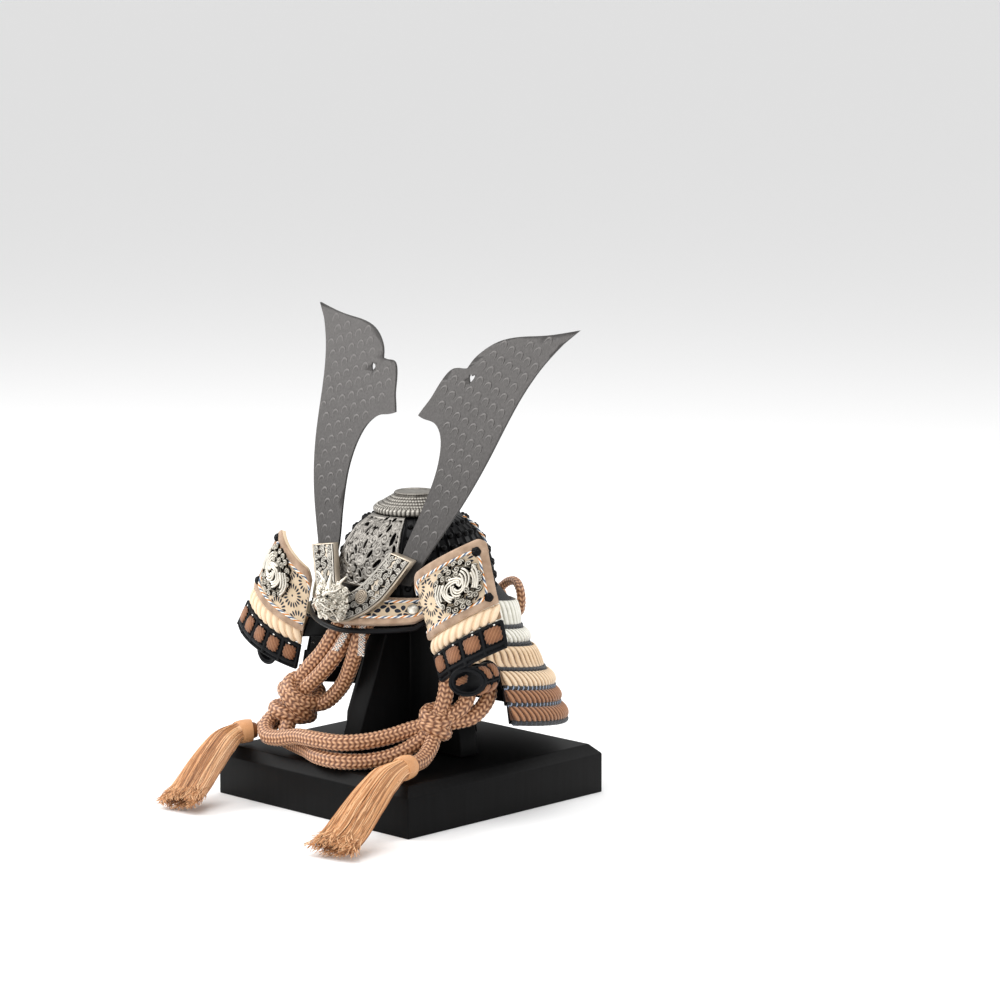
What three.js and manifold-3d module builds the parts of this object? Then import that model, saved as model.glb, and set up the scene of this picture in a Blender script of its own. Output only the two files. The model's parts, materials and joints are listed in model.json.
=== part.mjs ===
// Miniature kabuto (samurai helmet) on its black wooden stand, in millimetres, +Z up.
// The origin lies on the floor under the axis of the stand. The helmet looks along -Y, and +X is its own left.
import * as THREE from 'three';
import { mergeVertices } from 'three/addons/utils/BufferGeometryUtils.js';
import Module from 'manifold-3d';

const wasm = await Module();
wasm.setup();

// ---------------------------------------------------------------- driving dimensions, mm
const GAP = 0.3;                    // air left between touching pieces

const SLAB = { width: 140, height: 25.5, chamfer: 5 };
const BOARD = { thickness: 12, top: 146 };

const AXIS_Y = 4;                   // the bowl, visor and neck guard stand this far behind the stand's axis
const BOWL = { wall: 1.6, rim: 104, plates: 36, ribWidth: 1.1, ribHeight: 0.9 };
const FRONT_PLATE = { half: 0.56, topHalf: 0.56, low: 113.5, high: 144.5, thickness: 1.5, seat: 0.7 };
const CROWN_Z = 147.2;              // underside of the crown ornament

const VISOR = {
  inner: 42.2, outer: 53.2, plateEnd: 0.84, thickness: 1.6, reach: 51, drop: 92.6, root: 109.5, sag: 1.2,
};
const RIM_RADIUS = 1.4;
const VISOR_BEAD = { angle: 44, out: 0.5, radius: 2.9, height: 2.2 };

const GUARD_TILT = 0.17;            // the neck guard dips this much for each mm towards the back
const GUARD_PLATE = 1.2;
const GUARD_LACE = 2.0;
const SHOULDER = { root: 42.0, z: 109 };

const HORN = { thickness: 1.2, foot: 117, lean: 0.37, curl: 0.0008, fan: 0.05 };
const HOLDER_BOSS = { x: 12.4, z: 110.6 };
const DRAGON = { front: -57.7, z: 109.5 };
const HOLDER = { thickness: 3.6, top: 131, lean: 0.42, bulge: 5, bulgeWidth: 14 };

const TURNBACK = { turn: 82, leather: 2.0, panel: 33.5, laceFrom: 33.9, laceTo: 41, lameTo: 55.5 };
const MEDALLION = 12.2;             // radius of the openwork roundel
const PANEL_SPAN = 44;              // width of a turn-back's face, for places on it given in mm
const TURNBACK_STUD = 2.5;
const CURL = { x: 74, front: -33, z: 74.2, outer: 6.8, inner: 5.4, length: 15 };

const CORD = { radius: 4.2, sides: 8 };

// ---------------------------------------------------------------- finishes
const FINISH = {
  blackWood: { color: 0x15161a, roughness: 0.45, metalness: 0 },
  blackLacquer: { color: 0x0d0e12, roughness: 0.22, metalness: 0 },
  silver: { color: 0xb9b6ae, roughness: 0.34, metalness: 1 },
  gunmetal: { color: 0x77777a, roughness: 0.5, metalness: 0.8 },
  printedLeather: { color: 0xe7d3a6, roughness: 0.8, metalness: 0 },
  whiteSilk: { color: 0xefeee6, roughness: 0.8, metalness: 0 },
  creamSilk: { color: 0xe6c596, roughness: 0.8, metalness: 0 },
  brownSilk: { color: 0xa8683c, roughness: 0.8, metalness: 0 },
  cordSilk: { color: 0x9a6038, roughness: 0.75, metalness: 0 },
  tasselSilk: { color: 0xd9945a, roughness: 0.55, metalness: 0 },
};

// ---------------------------------------------------------------- solids and lofts
const v3 = (x, y, z) => new THREE.Vector3(x, y, z);

function solidOf(geometry) {
  const bare = geometry.clone();
  bare.deleteAttribute('normal');
  bare.deleteAttribute('uv');
  const merged = mergeVertices(bare, 1e-4);
  const vertProperties = new Float32Array(merged.attributes.position.array);
  const triVerts = new Uint32Array(merged.index.array);
  return new wasm.Manifold(new wasm.Mesh({ numProp: 3, vertProperties, triVerts }));
}

function geometryOf(solid) {
  const mesh = solid.getMesh();
  const geometry = new THREE.BufferGeometry();
  geometry.setAttribute('position', new THREE.BufferAttribute(mesh.vertProperties, 3));
  geometry.setIndex(new THREE.BufferAttribute(mesh.triVerts, 1));
  geometry.computeVertexNormals();
  return geometry;
}

function joined(geometries) {
  const [first, ...rest] = geometries.map(solidOf);
  return geometryOf(rest.reduce((sum, next) => sum.add(next), first));
}

function cut(base, tools) {
  return geometryOf(tools.map(solidOf).reduce((left, tool) => left.subtract(tool), solidOf(base)));
}

// Six times the signed volume: negative when the faces point inwards.
function volumeSign(positions, index) {
  const [a, b, c] = [v3(), v3(), v3()];
  let sum = 0;
  for (let i = 0; i < index.length; i += 3) {
    a.fromArray(positions, index[i] * 3);
    b.fromArray(positions, index[i + 1] * 3);
    c.fromArray(positions, index[i + 2] * 3);
    sum += a.dot(b.cross(c));
  }
  return sum;
}

function facedOutwards(positions, index) {
  if (volumeSign(positions, index) < 0) {
    for (let i = 0; i < index.length; i += 3) {
      [index[i], index[i + 1]] = [index[i + 1], index[i]];
    }
  }
  const geometry = new THREE.BufferGeometry();
  geometry.setAttribute('position', new THREE.Float32BufferAttribute(positions, 3));
  geometry.setIndex(index);
  geometry.computeVertexNormals();
  return geometry;
}

// A closed body through equal sections, each a list of points; a ring has its last section joined to its first.
function loft(sections, ring = false) {
  const sides = sections[0].length;
  const positions = sections.flat().flatMap((p) => [p.x, p.y, p.z]);
  const index = [];
  const spans = ring ? sections.length : sections.length - 1;
  for (let i = 0; i < spans; i++) {
    const here = i * sides;
    const next = ((i + 1) % sections.length) * sides;
    for (let j = 0; j < sides; j++) {
      const k = (j + 1) % sides;
      index.push(here + j, here + k, next + k, here + j, next + k, next + j);
    }
  }
  if (!ring) {
    const last = (sections.length - 1) * sides;
    for (let j = 1; j < sides - 1; j++) {
      index.push(0, j + 1, j);
      index.push(last, last + j, last + j + 1);
    }
  }
  return facedOutwards(positions, index);
}

// A loft whose end sections are not convex: its caps are strips between the two long edges.
function loftStrip(sections) {
  const count = sections[0].length;
  const half = count / 2;
  const positions = sections.flat().flatMap((p) => [p.x, p.y, p.z]);
  const index = [];
  for (let i = 0; i < sections.length - 1; i++) {
    for (let j = 0; j < count; j++) {
      const k = (j + 1) % count;
      const [a, b, c, d] = [i * count + j, i * count + k, (i + 1) * count + k, (i + 1) * count + j];
      index.push(a, b, c, a, c, d);
    }
  }
  const last = (sections.length - 1) * count;
  for (let j = 0; j < half - 1; j++) {
    const [a, b, c, d] = [j, j + 1, count - 2 - j, count - 1 - j];
    index.push(a, d, b, b, d, c);
    index.push(last + a, last + b, last + d, last + b, last + c, last + d);
  }
  return facedOutwards(positions, index);
}

const steps = (count) => Array.from({ length: count + 1 }, (_, i) => i / count);
const mix = (a, b, t) => a + (b - a) * t;

// Reads a column of a table between its rows, by another column.
function between(rows, key, value, at) {
  const i = Math.min(Math.max(rows.findIndex((row) => row[key] >= at), 1), rows.length - 1);
  const [low, high] = [rows[i - 1], rows[i]];
  const t = Math.min(Math.max((at - low[key]) / (high[key] - low[key]), 0), 1);
  return mix(low[value], high[value], t);
}

function placed(geometry, position, rotation = [0, 0, 0], scale = [1, 1, 1]) {
  const matrix = new THREE.Matrix4().compose(
    v3(...position),
    new THREE.Quaternion().setFromEuler(new THREE.Euler(...rotation)),
    v3(...scale),
  );
  return geometry.clone().applyMatrix4(matrix);
}

// Turns a geometry made along +Z so that it points along a direction at a place.
function aimed(geometry, position, direction, scale = [1, 1, 1]) {
  const turn = new THREE.Quaternion().setFromUnitVectors(v3(0, 0, 1), direction.clone().normalize());
  return geometry.clone().applyMatrix4(new THREE.Matrix4().compose(position, turn, v3(...scale)));
}

function tubeAlong(points, radius, sides, count) {
  const curve = new THREE.CatmullRomCurve3(points.map((p) => v3(...p)), false, 'centripetal');
  const section = new THREE.Shape();
  for (let i = 0; i < sides; i++) {
    const angle = (2 * Math.PI * i) / sides;
    section[i ? 'lineTo' : 'moveTo'](radius * Math.cos(angle), radius * Math.sin(angle));
  }
  return new THREE.ExtrudeGeometry(section, { steps: count, extrudePath: curve });
}

const object = new THREE.Group();

function add(name, geometry, finish) {
  const mesh = new THREE.Mesh(geometry, new THREE.MeshStandardMaterial(finish));
  mesh.name = name;
  object.add(mesh);
  return mesh;
}

// ---------------------------------------------------------------- stand
function slabGeometry() {
  const half = SLAB.width / 2;
  const square = (size, z) => [[-1, -1], [1, -1], [1, 1], [-1, 1]].map(([x, y]) => v3(x * size, y * size, z));
  return loft([
    square(half, 0),
    square(half, SLAB.height - SLAB.chamfer),
    square(half - SLAB.chamfer, SLAB.height),
  ]);
}

// Half the width of each crossed board, from the slab up to the top inside the bowl.
const BOARD_EDGE = [
  { z: SLAB.height + GAP, half: 43 },
  { z: 37.5, half: 42 },
  { z: 51, half: 36.8 },
  { z: 64.5, half: 31.2 },
  { z: 78, half: 26.4 },
  { z: 91, half: 21.8 },
  { z: 106, half: 18 },
  { z: 122, half: 15.6 },
  { z: 138, half: 14 },
  { z: BOARD.top, half: 9 },
];

function postGeometry() {
  const outline = new THREE.Shape();
  const right = BOARD_EDGE.map(({ z, half }) => [half, z]);
  const left = [...right].reverse().map(([x, z]) => [-x, z]);
  [...right, ...left].forEach(([x, z], i) => outline[i ? 'lineTo' : 'moveTo'](x, z));
  const board = new THREE.ExtrudeGeometry(outline, { depth: BOARD.thickness, bevelEnabled: false });
  const across = placed(board, [0, BOARD.thickness / 2, 0], [Math.PI / 2, 0, 0]);
  const along = placed(across, [0, 0, 0], [0, 0, Math.PI / 2]);
  return joined([across, along]);
}

add('stand_base', slabGeometry(), FINISH.blackWood);
add('stand_post', postGeometry(), FINISH.blackWood);

// ---------------------------------------------------------------- bowl
// Outer radius of the bowl, from the rim up.
const BOWL_SIDE = [
  { z: BOWL.rim, radius: 40.4 },
  { z: 115, radius: 39.7 },
  { z: 125, radius: 37.7 },
  { z: 134, radius: 33.8 },
  { z: 141, radius: 28.6 },
  { z: 147, radius: 20.2 },
  { z: 150.6, radius: 6 },
];

const bowlRadius = (z) => between(BOWL_SIDE, 'z', 'radius', z);

function roundPoint(azimuth, radius, z) {
  return v3(radius * Math.cos(azimuth), AXIS_Y + radius * Math.sin(azimuth), z);
}

// Around the bowl, each plate ends in a narrow upright ridge; there are none under the front plate.
function bowlRing(z, radius) {
  const points = [];
  for (let plate = 0; plate < BOWL.plates; plate++) {
    const azimuth = ((plate + 0.5) / BOWL.plates) * 2 * Math.PI;
    const bare = Math.abs(azimuth - 1.5 * Math.PI) < FRONT_PLATE.half + 0.05 || z > CROWN_Z - 1;
    const crest = bare ? 0 : BOWL.ribHeight;
    const foot = BOWL.ribWidth / BOWL_SIDE[0].radius;
    points.push(roundPoint(azimuth - foot, radius, z));
    points.push(roundPoint(azimuth, radius + crest, z));
    points.push(roundPoint(azimuth + foot, radius, z));
  }
  return points;
}

function bowlGeometry() {
  const outside = loft(BOWL_SIDE.map(({ z, radius }) => bowlRing(z, radius)));
  const profile = [new THREE.Vector2(0, BOWL.rim - 1)];
  for (const { z, radius } of BOWL_SIDE) {
    const height = z === BOWL.rim ? BOWL.rim - 1 : z - BOWL.wall;
    profile.push(new THREE.Vector2(Math.max(radius - BOWL.wall, 0), height));
  }
  profile.push(new THREE.Vector2(0, BOWL_SIDE.at(-1).z - BOWL.wall));
  const inside = placed(new THREE.LatheGeometry(profile, 18), [0, AXIS_Y, 0], [Math.PI / 2, 0, 0]);
  return cut(outside, [inside]);
}

// ---------------------------------------------------------------- front plate on the bowl
function frontPoint(turn, z, lift) {
  const azimuth = -Math.PI / 2 + turn;
  return roundPoint(azimuth, bowlRadius(z) + FRONT_PLATE.seat + lift, z + 0.35 * lift);
}

function frontPlateGeometry() {
  const across = steps(10).map((t) => mix(-1, 1, t));
  const inner = BOWL_SIDE.map(({ z }) => z).filter((z) => z > FRONT_PLATE.low + 3 && z < FRONT_PLATE.high);
  const up = [FRONT_PLATE.low, ...inner, FRONT_PLATE.high];
  const halfAt = (z) => mix(FRONT_PLATE.half, FRONT_PLATE.topHalf, (z - up[0]) / (up.at(-1) - up[0]));
  const column = (side) => [
    ...up.map((z) => frontPoint(side * halfAt(z), z, FRONT_PLATE.thickness)),
    ...[...up].reverse().map((z) => frontPoint(side * halfAt(z), z, 0)),
  ];
  const plate = loftStrip(across.map(column));
  return cut(plate, frontPlateHoles());
}

// Openings between the clouds of the casting, in rows up the plate: side of the middle, height, size and slant.
const CLOUD_GAPS = [
  { turn: 0.13, z: 118.5, long: 6.0, wide: 2.5, slant: 0.7 },
  { turn: 0.38, z: 119, long: 5.4, wide: 2.5, slant: -0.5 },
  { turn: 0.25, z: 124.5, long: 6.0, wide: 2.5, slant: -0.8 },
  { turn: 0.43, z: 127.5, long: 6.2, wide: 2.6, slant: 0.2 },
  { turn: 0.11, z: 130, long: 5.4, wide: 2.4, slant: 0.4 },
  { turn: 0.31, z: 133, long: 5.2, wide: 2.4, slant: 0.9 },
  { turn: 0.2, z: 138.6, long: 4.8, wide: 2.2, slant: -0.9 },
];

function frontPlateHoles() {
  return CLOUD_GAPS.flatMap(({ turn, z, long, wide, slant }) => [-1, 1].map((side) => {
    const slope = (bowlRadius(z + 1) - bowlRadius(z - 1)) / 2;
    const azimuth = -Math.PI / 2 + side * turn;
    const outward = v3(Math.cos(azimuth), Math.sin(azimuth), -slope);
    const tool = placed(new THREE.CylinderGeometry(0.5, 0.5, 6, 6), [0, 0, 0], [Math.PI / 2, 0, 0]);
    const oval = placed(tool, [0, 0, 0], [0, 0, 0], [wide, long, 1]);
    const slot = placed(oval, [0, 0, 0], [0, 0, side * slant]);
    return aimed(slot, frontPoint(side * turn, z, 1), outward);
  }));
}

add('bowl', bowlGeometry(), FINISH.blackLacquer);
add('front_plate', frontPlateGeometry(), FINISH.silver);

// ---------------------------------------------------------------- crown ornament
const CROWN_TIERS = [
  { z: 0, radius: 21.2 },
  { z: 2.6, radius: 21.6 },
  { z: 4.2, radius: 17.4 },
  { z: 6.0, radius: 16.6 },
  { z: 7.2, radius: 12.8 },
  { z: 9.0, radius: 12.0 },
  { z: 10.2, radius: 9.6 },
  { z: 12.6, radius: 8.6 },
  { z: 13.2, radius: 6.4 },
];
const CROWN_HOLLOW = [
  { z: 0, radius: 20.2 },
  { z: 2.2, radius: 16.6 },
  { z: 4.4, radius: 9.0 },
];

function crownGeometry() {
  const profile = [
    ...CROWN_HOLLOW.map(({ z, radius }) => new THREE.Vector2(radius, z)).reverse(),
    ...CROWN_TIERS.map(({ z, radius }) => new THREE.Vector2(radius, z)),
  ];
  profile.unshift(new THREE.Vector2(0, CROWN_HOLLOW.at(-1).z + 0.2));
  profile.push(new THREE.Vector2(0, CROWN_TIERS.at(-1).z - 0.8));
  const body = new THREE.LatheGeometry(profile, 28);
  return placed(body, [0, AXIS_Y, CROWN_Z], [Math.PI / 2, 0, 0]);
}

add('crown_ornament', crownGeometry(), FINISH.silver);

// ---------------------------------------------------------------- visor
// Height of the visor's edge, by the angle to each side of the front.
const VISOR_EDGE = [
  { angle: 0, rise: 0 },
  { angle: 20, rise: 1.3 },
  { angle: 35, rise: 2.4 },
  { angle: 45, rise: 3.5 },
  { angle: VISOR.reach, rise: 6.7 },
];
const radians = (degrees) => (degrees * Math.PI) / 180;

function visorPoint(angle, out, lift) {
  const azimuth = -Math.PI / 2 + radians(angle);
  const rise = between(VISOR_EDGE, 'angle', 'rise', Math.abs(angle));
  const sag = VISOR.sag * Math.sin(Math.PI * Math.min(out, 1));
  return roundPoint(azimuth, mix(VISOR.inner, VISOR.outer, out), mix(VISOR.root, VISOR.drop + rise, out) + lift + sag);
}

function visorGeometry() {
  const angles = steps(18).map((t) => mix(-VISOR.reach, VISOR.reach, t));
  const out = steps(3).map((t) => mix(0, VISOR.plateEnd, t));
  return loftStrip(angles.map((angle) => [
    ...out.map((t) => visorPoint(angle, t, VISOR.thickness / 2)),
    ...[...out].reverse().map((t) => visorPoint(angle, t, -VISOR.thickness / 2)),
  ]));
}

function visorRimGeometry() {
  const angles = steps(18).map((t) => mix(-VISOR.reach - 1.5, VISOR.reach + 1.5, t));
  return tubeAlong(angles.map((angle) => visorPoint(angle, 1, 0).toArray()), RIM_RADIUS, 6, 20);
}

// A dome on a flat base, standing along +Z.
function domeGeometry(radius, height, sides) {
  const profile = [new THREE.Vector2(0, 0)];
  for (const t of steps(4)) {
    profile.push(new THREE.Vector2(radius * Math.cos((t * Math.PI) / 2), height * Math.sin((t * Math.PI) / 2)));
  }
  profile.at(-1).x = 0;
  return placed(new THREE.LatheGeometry(profile, sides), [0, 0, 0], [Math.PI / 2, 0, 0]);
}

function visorBeadGeometry(side) {
  const seat = visorPoint(side * VISOR_BEAD.angle, VISOR_BEAD.out, VISOR.thickness / 2 + 0.9);
  return aimed(domeGeometry(VISOR_BEAD.radius, VISOR_BEAD.height, 14), seat, v3(side * 0.5, -0.55, 0.67));
}

add('visor', visorGeometry(), FINISH.printedLeather);
add('visor_rim', visorRimGeometry(), FINISH.blackLacquer);
add('visor_bead_left', visorBeadGeometry(1), FINISH.silver);
add('visor_bead_right', visorBeadGeometry(-1), FINISH.silver);

// Depth of the visor's upper face on its middle line.
function visorFrontFace(z) {
  const out = (VISOR.root - z) / (VISOR.root - VISOR.drop);
  const slope = (VISOR.outer - VISOR.inner) / (VISOR.root - VISOR.drop);
  const lift = VISOR.thickness / 2 + VISOR.sag * Math.sin(Math.PI * out);
  return AXIS_Y - mix(VISOR.inner, VISOR.outer, out) - slope * lift;
}

// ---------------------------------------------------------------- crest holder
// The holder and the horns lean back: depth of their front face at a place across and a height.
function holderDepth(x, z) {
  const bulge = HOLDER.bulge * Math.exp(-((x / HOLDER.bulgeWidth) ** 2));
  return -34.2 - HOLDER.lean * (HOLDER.top - z) - bulge;
}

// Outline of one half, from the foot of the middle, out and up the arm, and back down its inner edge.
const HOLDER_OUTER = [
  { z: 96.8, x: 0 },
  { z: 98.2, x: 7.5 },
  { z: 103.5, x: 17 },
  { z: 110, x: 24 },
  { z: 118, x: 29.4 },
  { z: 125, x: 33.6 },
  { z: 130.2, x: 36.6 },
];
const HOLDER_INNER = [
  { z: 132.6, x: 21.4 },
  { z: 126, x: 17.0 },
  { z: 119.5, x: 12.6 },
  { z: 114, x: 8.0 },
  { z: 111, x: 3.6 },
  { z: 110.2, x: 0 },
];

// A flat outline given a thickness, cut up finely and bent so that its front face follows a depth.
function bentPlate(outline, holes, thickness, depthAt, fineness) {
  const shape = new THREE.Shape(outline.map(([x, z]) => new THREE.Vector2(x, z)));
  shape.holes = holes.map((hole) => new THREE.Path(hole.map(([x, z]) => new THREE.Vector2(x, z))));
  const flat = new THREE.ExtrudeGeometry(shape, { depth: thickness, bevelEnabled: false });
  const upright = placed(flat, [0, thickness, 0], [Math.PI / 2, 0, 0]);
  const bent = solidOf(upright).refineToLength(fineness).warp((place) => {
    place[1] += depthAt(place[0], place[2]);
  });
  return geometryOf(bent);
}

const mirrored = (rows) => rows.map(([x, z]) => [-x, z]).reverse();

// A raised scroll: a thin bar that curls through most of a turn while it closes in.
function scrollBar(radius, turn, side, bar = 0.55) {
  const points = steps(6).map((t) => {
    const angle = side * (turn + t * 4.4);
    const reach = radius * (1 - 0.45 * t);
    return [reach * Math.cos(angle), reach * Math.sin(angle), 0];
  });
  return tubeAlong(points, bar, 4, 9);
}

function scrollRelief(x, z, radius, turn, side) {
  const upright = placed(scrollBar(radius, turn, side), [0, 0, 0], [Math.PI / 2 - Math.atan(HOLDER.lean), 0, 0]);
  return placed(upright, [side * x, holderDepth(x, z) + 0.1, z]);
}

const HOLDER_SCROLLS = [
  { x: 28.5, z: 126.5, radius: 3.0, turn: 0.4 },
  { x: 22.8, z: 119, radius: 3.2, turn: 3.4 },
  { x: 17.5, z: 111.5, radius: 3.1, turn: 0.8 },
];

// The block that stands the holder off the middle of the visor.
function holderBracket() {
  const half = 4.5;
  return loft([103.5, 105.5, 107.5].map((z) => {
    const front = holderDepth(0, z) + HOLDER.thickness - 0.6;
    const back = visorFrontFace(z) - GAP;
    return [v3(-half, front, z), v3(half, front, z), v3(half, back, z), v3(-half, back, z)];
  }));
}

function holderGeometry() {
  const rows = [...HOLDER_OUTER.slice(1), ...HOLDER_INNER.slice(0, -1)].map(({ x, z }) => [x, z]);
  const outline = [[0, HOLDER_OUTER[0].z], ...rows, [0, HOLDER_INNER.at(-1).z], ...mirrored(rows)];
  const plate = bentPlate(outline, [], HOLDER.thickness, holderDepth, 13);
  const bracket = holderBracket();
  const scrolls = HOLDER_SCROLLS.flatMap(({ x, z, radius, turn }) => (
    [-1, 1].map((side) => scrollRelief(x, z, radius, side > 0 ? turn : Math.PI - turn, side))
  ));
  return joined([plate, bracket, ...scrolls]);
}

function holderBossGeometry(side) {
  const seat = v3(side * HOLDER_BOSS.x, holderDepth(HOLDER_BOSS.x, HOLDER_BOSS.z) - 1.2, HOLDER_BOSS.z);
  const rings = [[0, 0], [3.3, 0], [3.3, 0.9], [2.5, 1.3], [1.7, 1.0], [1.1, 1.7], [0, 1.8]];
  const button = new THREE.LatheGeometry(rings.map(([r, h]) => new THREE.Vector2(r, h)), 14);
  return aimed(placed(button, [0, 0, 0], [Math.PI / 2, 0, 0]), seat, v3(side * 0.15, -1, HOLDER.lean));
}

add('crest_holder', holderGeometry(), FINISH.silver);
add('holder_boss_left', holderBossGeometry(1), FINISH.silver);
add('holder_boss_right', holderBossGeometry(-1), FINISH.silver);

// ---------------------------------------------------------------- dragon head
function lump(x, y, z, rx, ry, rz, wide = 7, high = 5) {
  return placed(new THREE.SphereGeometry(1, wide, high), [x, y, z], [Math.PI / 2, 0, 0], [rx, rz, ry]);
}

function fang(x, y, z, dx, dy, dz, radius, length) {
  const cone = placed(new THREE.ConeGeometry(radius, length, 5), [0, 0, length / 2], [Math.PI / 2, 0, 0]);
  return aimed(cone, v3(x, y, z), v3(dx, dy, dz));
}

function dragonGeometry() {
  const y = DRAGON.front;
  const z = DRAGON.z;
  const middle = [
    lump(0, y + 4, z + 1, 7.4, 5.2, 7.2, 10, 6),
    lump(0, y - 1.5, z - 1.5, 4.6, 5.4, 3.4),
    lump(0, y - 5.4, z - 0.6, 3.0, 2.2, 2.2, 6, 4),
    lump(0, y - 0.5, z - 6.4, 3.9, 4.6, 2.0, 6, 4),
    fang(0, y + 1, z + 6, 0, 0.2, 1, 1.8, 7),
  ];
  const pairs = [-1, 1].flatMap((side) => [
    lump(side * 3.4, y - 1.4, z + 3.4, 2.6, 2.0, 1.6, 6, 4),
    lump(side * 7.8, y + 3.2, z - 2.8, 2.8, 2.4, 3.0, 6, 4),
    lump(side * 6.2, y + 3.0, z - 7, 2.7, 2.4, 2.8, 6, 4),
    lump(side * 8.2, y + 3.6, z + 3.6, 2.4, 2.0, 2.6, 6, 4),
    fang(side * 5.2, y + 2.2, z + 6, side * 0.8, 0.3, 1, 1.5, 7),
    fang(side * 1.9, y - 4.4, z - 1.2, side * 0.1, -0.1, -1, 1.1, 4.4),
  ]);
  return joined([...middle, ...pairs]);
}

add('dragon_head', dragonGeometry(), FINISH.silver);

// ---------------------------------------------------------------- horns
// Outline of the left horn from its foot up the inner edge, over the point, and down the outer edge.
const HORN_OUTLINE = [
  [23.6, HORN.foot], [22.6, 131], [26.9, 144.9], [31.2, 164.7], [31.7, 176.5], [29, 188.3], [23.5, 194.2],
  [19, 196.1], [12.5, 196.4], [8.4, 198.0], [10.4, 202], [13.5, 206.7], [15.2, 212.6], [17.7, 218.2],
  [20.2, 221.4], [23.2, 222.7], [27.4, 222.3], [30.9, 222.9], [32.4, 226.8], [36, 231.1], [44.6, 237.5],
  [58, 240.6], [73.8, 241.4], [94.3, 245.9], [84, 236.2], [75.5, 226.4], [67.8, 213], [62.2, 197.5],
  [57.5, 180.5], [51.6, 163], [45, 147], [38.4, 132.5], [33.6, HORN.foot],
];
const HEART = [
  [0, -2.4], [1.3, -0.8], [2.1, 0.6], [1.9, 1.8], [1.0, 2.2], [0, 1.2],
  [-1.0, 2.2], [-1.9, 1.8], [-2.1, 0.6], [-1.3, -0.8],
];

function hornDepth(x, z) {
  const up = z - 144.9;
  return -23.2 + HORN.lean * up + HORN.curl * up * up + HORN.fan * (Math.abs(x) - 27);
}

function hornGeometry(side) {
  const heart = HEART.map(([x, z]) => [35.6 + x, 218.2 + z]);
  const turned = (rows) => (side > 0 ? rows : mirrored(rows));
  return bentPlate(turned(HORN_OUTLINE), [turned(heart)], HORN.thickness, hornDepth, 20);
}

add('horn_left', hornGeometry(1), FINISH.gunmetal);
add('horn_right', hornGeometry(-1), FINISH.gunmetal);

// ---------------------------------------------------------------- turn-backs at the cheeks
// Each panel is bowed between two straight edges: the fold beside the bowl, and the free edge. Places are the
// upper and lower ends of both, and where the roundel and the studs sit: across from the fold, down from the top.
const TURNBACK_SIDES = [
  {
    name: 'left',
    fold: [[36.5, -31, 123.2], [56.3, -31, 71.4]],
    free: [[72.8, -19.3, 145.3], [89.4, -20.3, 91.5]],
    medallion: [0.62, 17.6],
    studs: [[0.88, 5.6], [0.91, 29]],
    curlDrop: 0,
    panelFrom: 0,
    lameFrom: 0,
  },
  {
    name: 'right',
    fold: [[-35.7, -27.4, 112.7], [-45.8, -26.9, 60.4]],
    free: [[-63.4, -28.1, 134.7], [-95.9, -31.2, 79.2]],
    medallion: [0.66, 14.5],
    studs: [[0.94, 4.6], [0.94, 28.5]],
    curlDrop: 5,
    panelFrom: 0.14,
    lameFrom: 0.14,
  },
];

// A place on the bowed face: how far across (0 to 1), down from the top edge, and off the face.
function turnbackPoint(side, across, down, off) {
  const t = down / TURNBACK.lameTo;
  const edge = ([top, low]) => v3(...top).lerp(v3(...low), t);
  const [fold, free] = [edge(side.fold), edge(side.free)];
  const acrossWay = free.clone().sub(fold);
  const chord = acrossWay.length();
  acrossWay.normalize();
  const downWay = v3(...side.fold[1]).sub(v3(...side.fold[0])).add(v3(...side.free[1])).sub(v3(...side.free[0]));
  const outWay = v3().crossVectors(acrossWay, downWay).normalize();
  if (outWay.y > 0) outWay.negate();
  const half = radians(TURNBACK.turn / 2);
  const radius = chord / (2 * Math.sin(half));
  const angle = mix(-half, half, across);
  return fold
    .addScaledVector(acrossWay, chord / 2 + (radius + off) * Math.sin(angle))
    .addScaledVector(outWay, (radius + off) * Math.cos(angle) - radius * Math.cos(half));
}

// The panel's corners are round: how far its top edge drops near the fold and near the free edge.
function panelTop(across) {
  const near = Math.max(0, 0.12 - across) / 0.12;
  const far = Math.max(0, across - 0.9) / 0.1;
  return 5 * near * near + 3.4 * far * far;
}

function panelGeometry(side) {
  return loft(steps(14).map((s) => {
    const t = mix(side.panelFrom, 1, s);
    const top = panelTop(s);
    return [[top, TURNBACK.leather], [TURNBACK.panel, TURNBACK.leather], [TURNBACK.panel, 0], [top, 0]]
      .map(([down, off]) => turnbackPoint(side, t, down, off));
  }));
}

// A row of fat rope lacing: the bar swells at every turn of the rope.
function laceRowGeometry(side) {
  const [from, to] = [TURNBACK.laceFrom, TURNBACK.laceTo];
  return loft(steps(18).map((s) => {
    const t = mix(side.lameFrom, 1, s);
    const swell = 0.5 + 0.5 * Math.abs(Math.sin(s * Math.PI * 9));
    return [
      turnbackPoint(side, t, from, 0),
      turnbackPoint(side, t, from, 1.6),
      turnbackPoint(side, t, mix(from, to, 0.5), 2.2 + 0.7 * swell),
      turnbackPoint(side, t, to - 0.9 + 0.9 * swell, 1.6),
      turnbackPoint(side, t, to, 0),
    ];
  }));
}

const LAME_BLOCKS = 5;

function lameGeometry(side) {
  const [from, to] = [TURNBACK.laceTo + GAP, TURNBACK.lameTo];
  const plate = loft(steps(12).map((s) => {
    const t = mix(side.lameFrom, 1, s);
    return [[from, 0], [from, 1.4], [to, 1.4], [to, 0]].map(([down, off]) => turnbackPoint(side, t, down, off));
  }));
  const blocks = steps(LAME_BLOCKS - 1).map((t) => {
    const start = mix(side.lameFrom + 0.04, 0.82, t);
    const end = start + 0.13;
    const rows = steps(2).map((s) => mix(start, end, s));
    return loft(rows.map((across) => [
      turnbackPoint(side, across, from + 2.6, 1.0),
      turnbackPoint(side, across, from + 2.6, 2.4),
      turnbackPoint(side, across, to - 2.8, 2.4),
      turnbackPoint(side, across, to - 2.8, 1.0),
    ]));
  });
  return joined([plate, ...blocks]);
}

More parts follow.
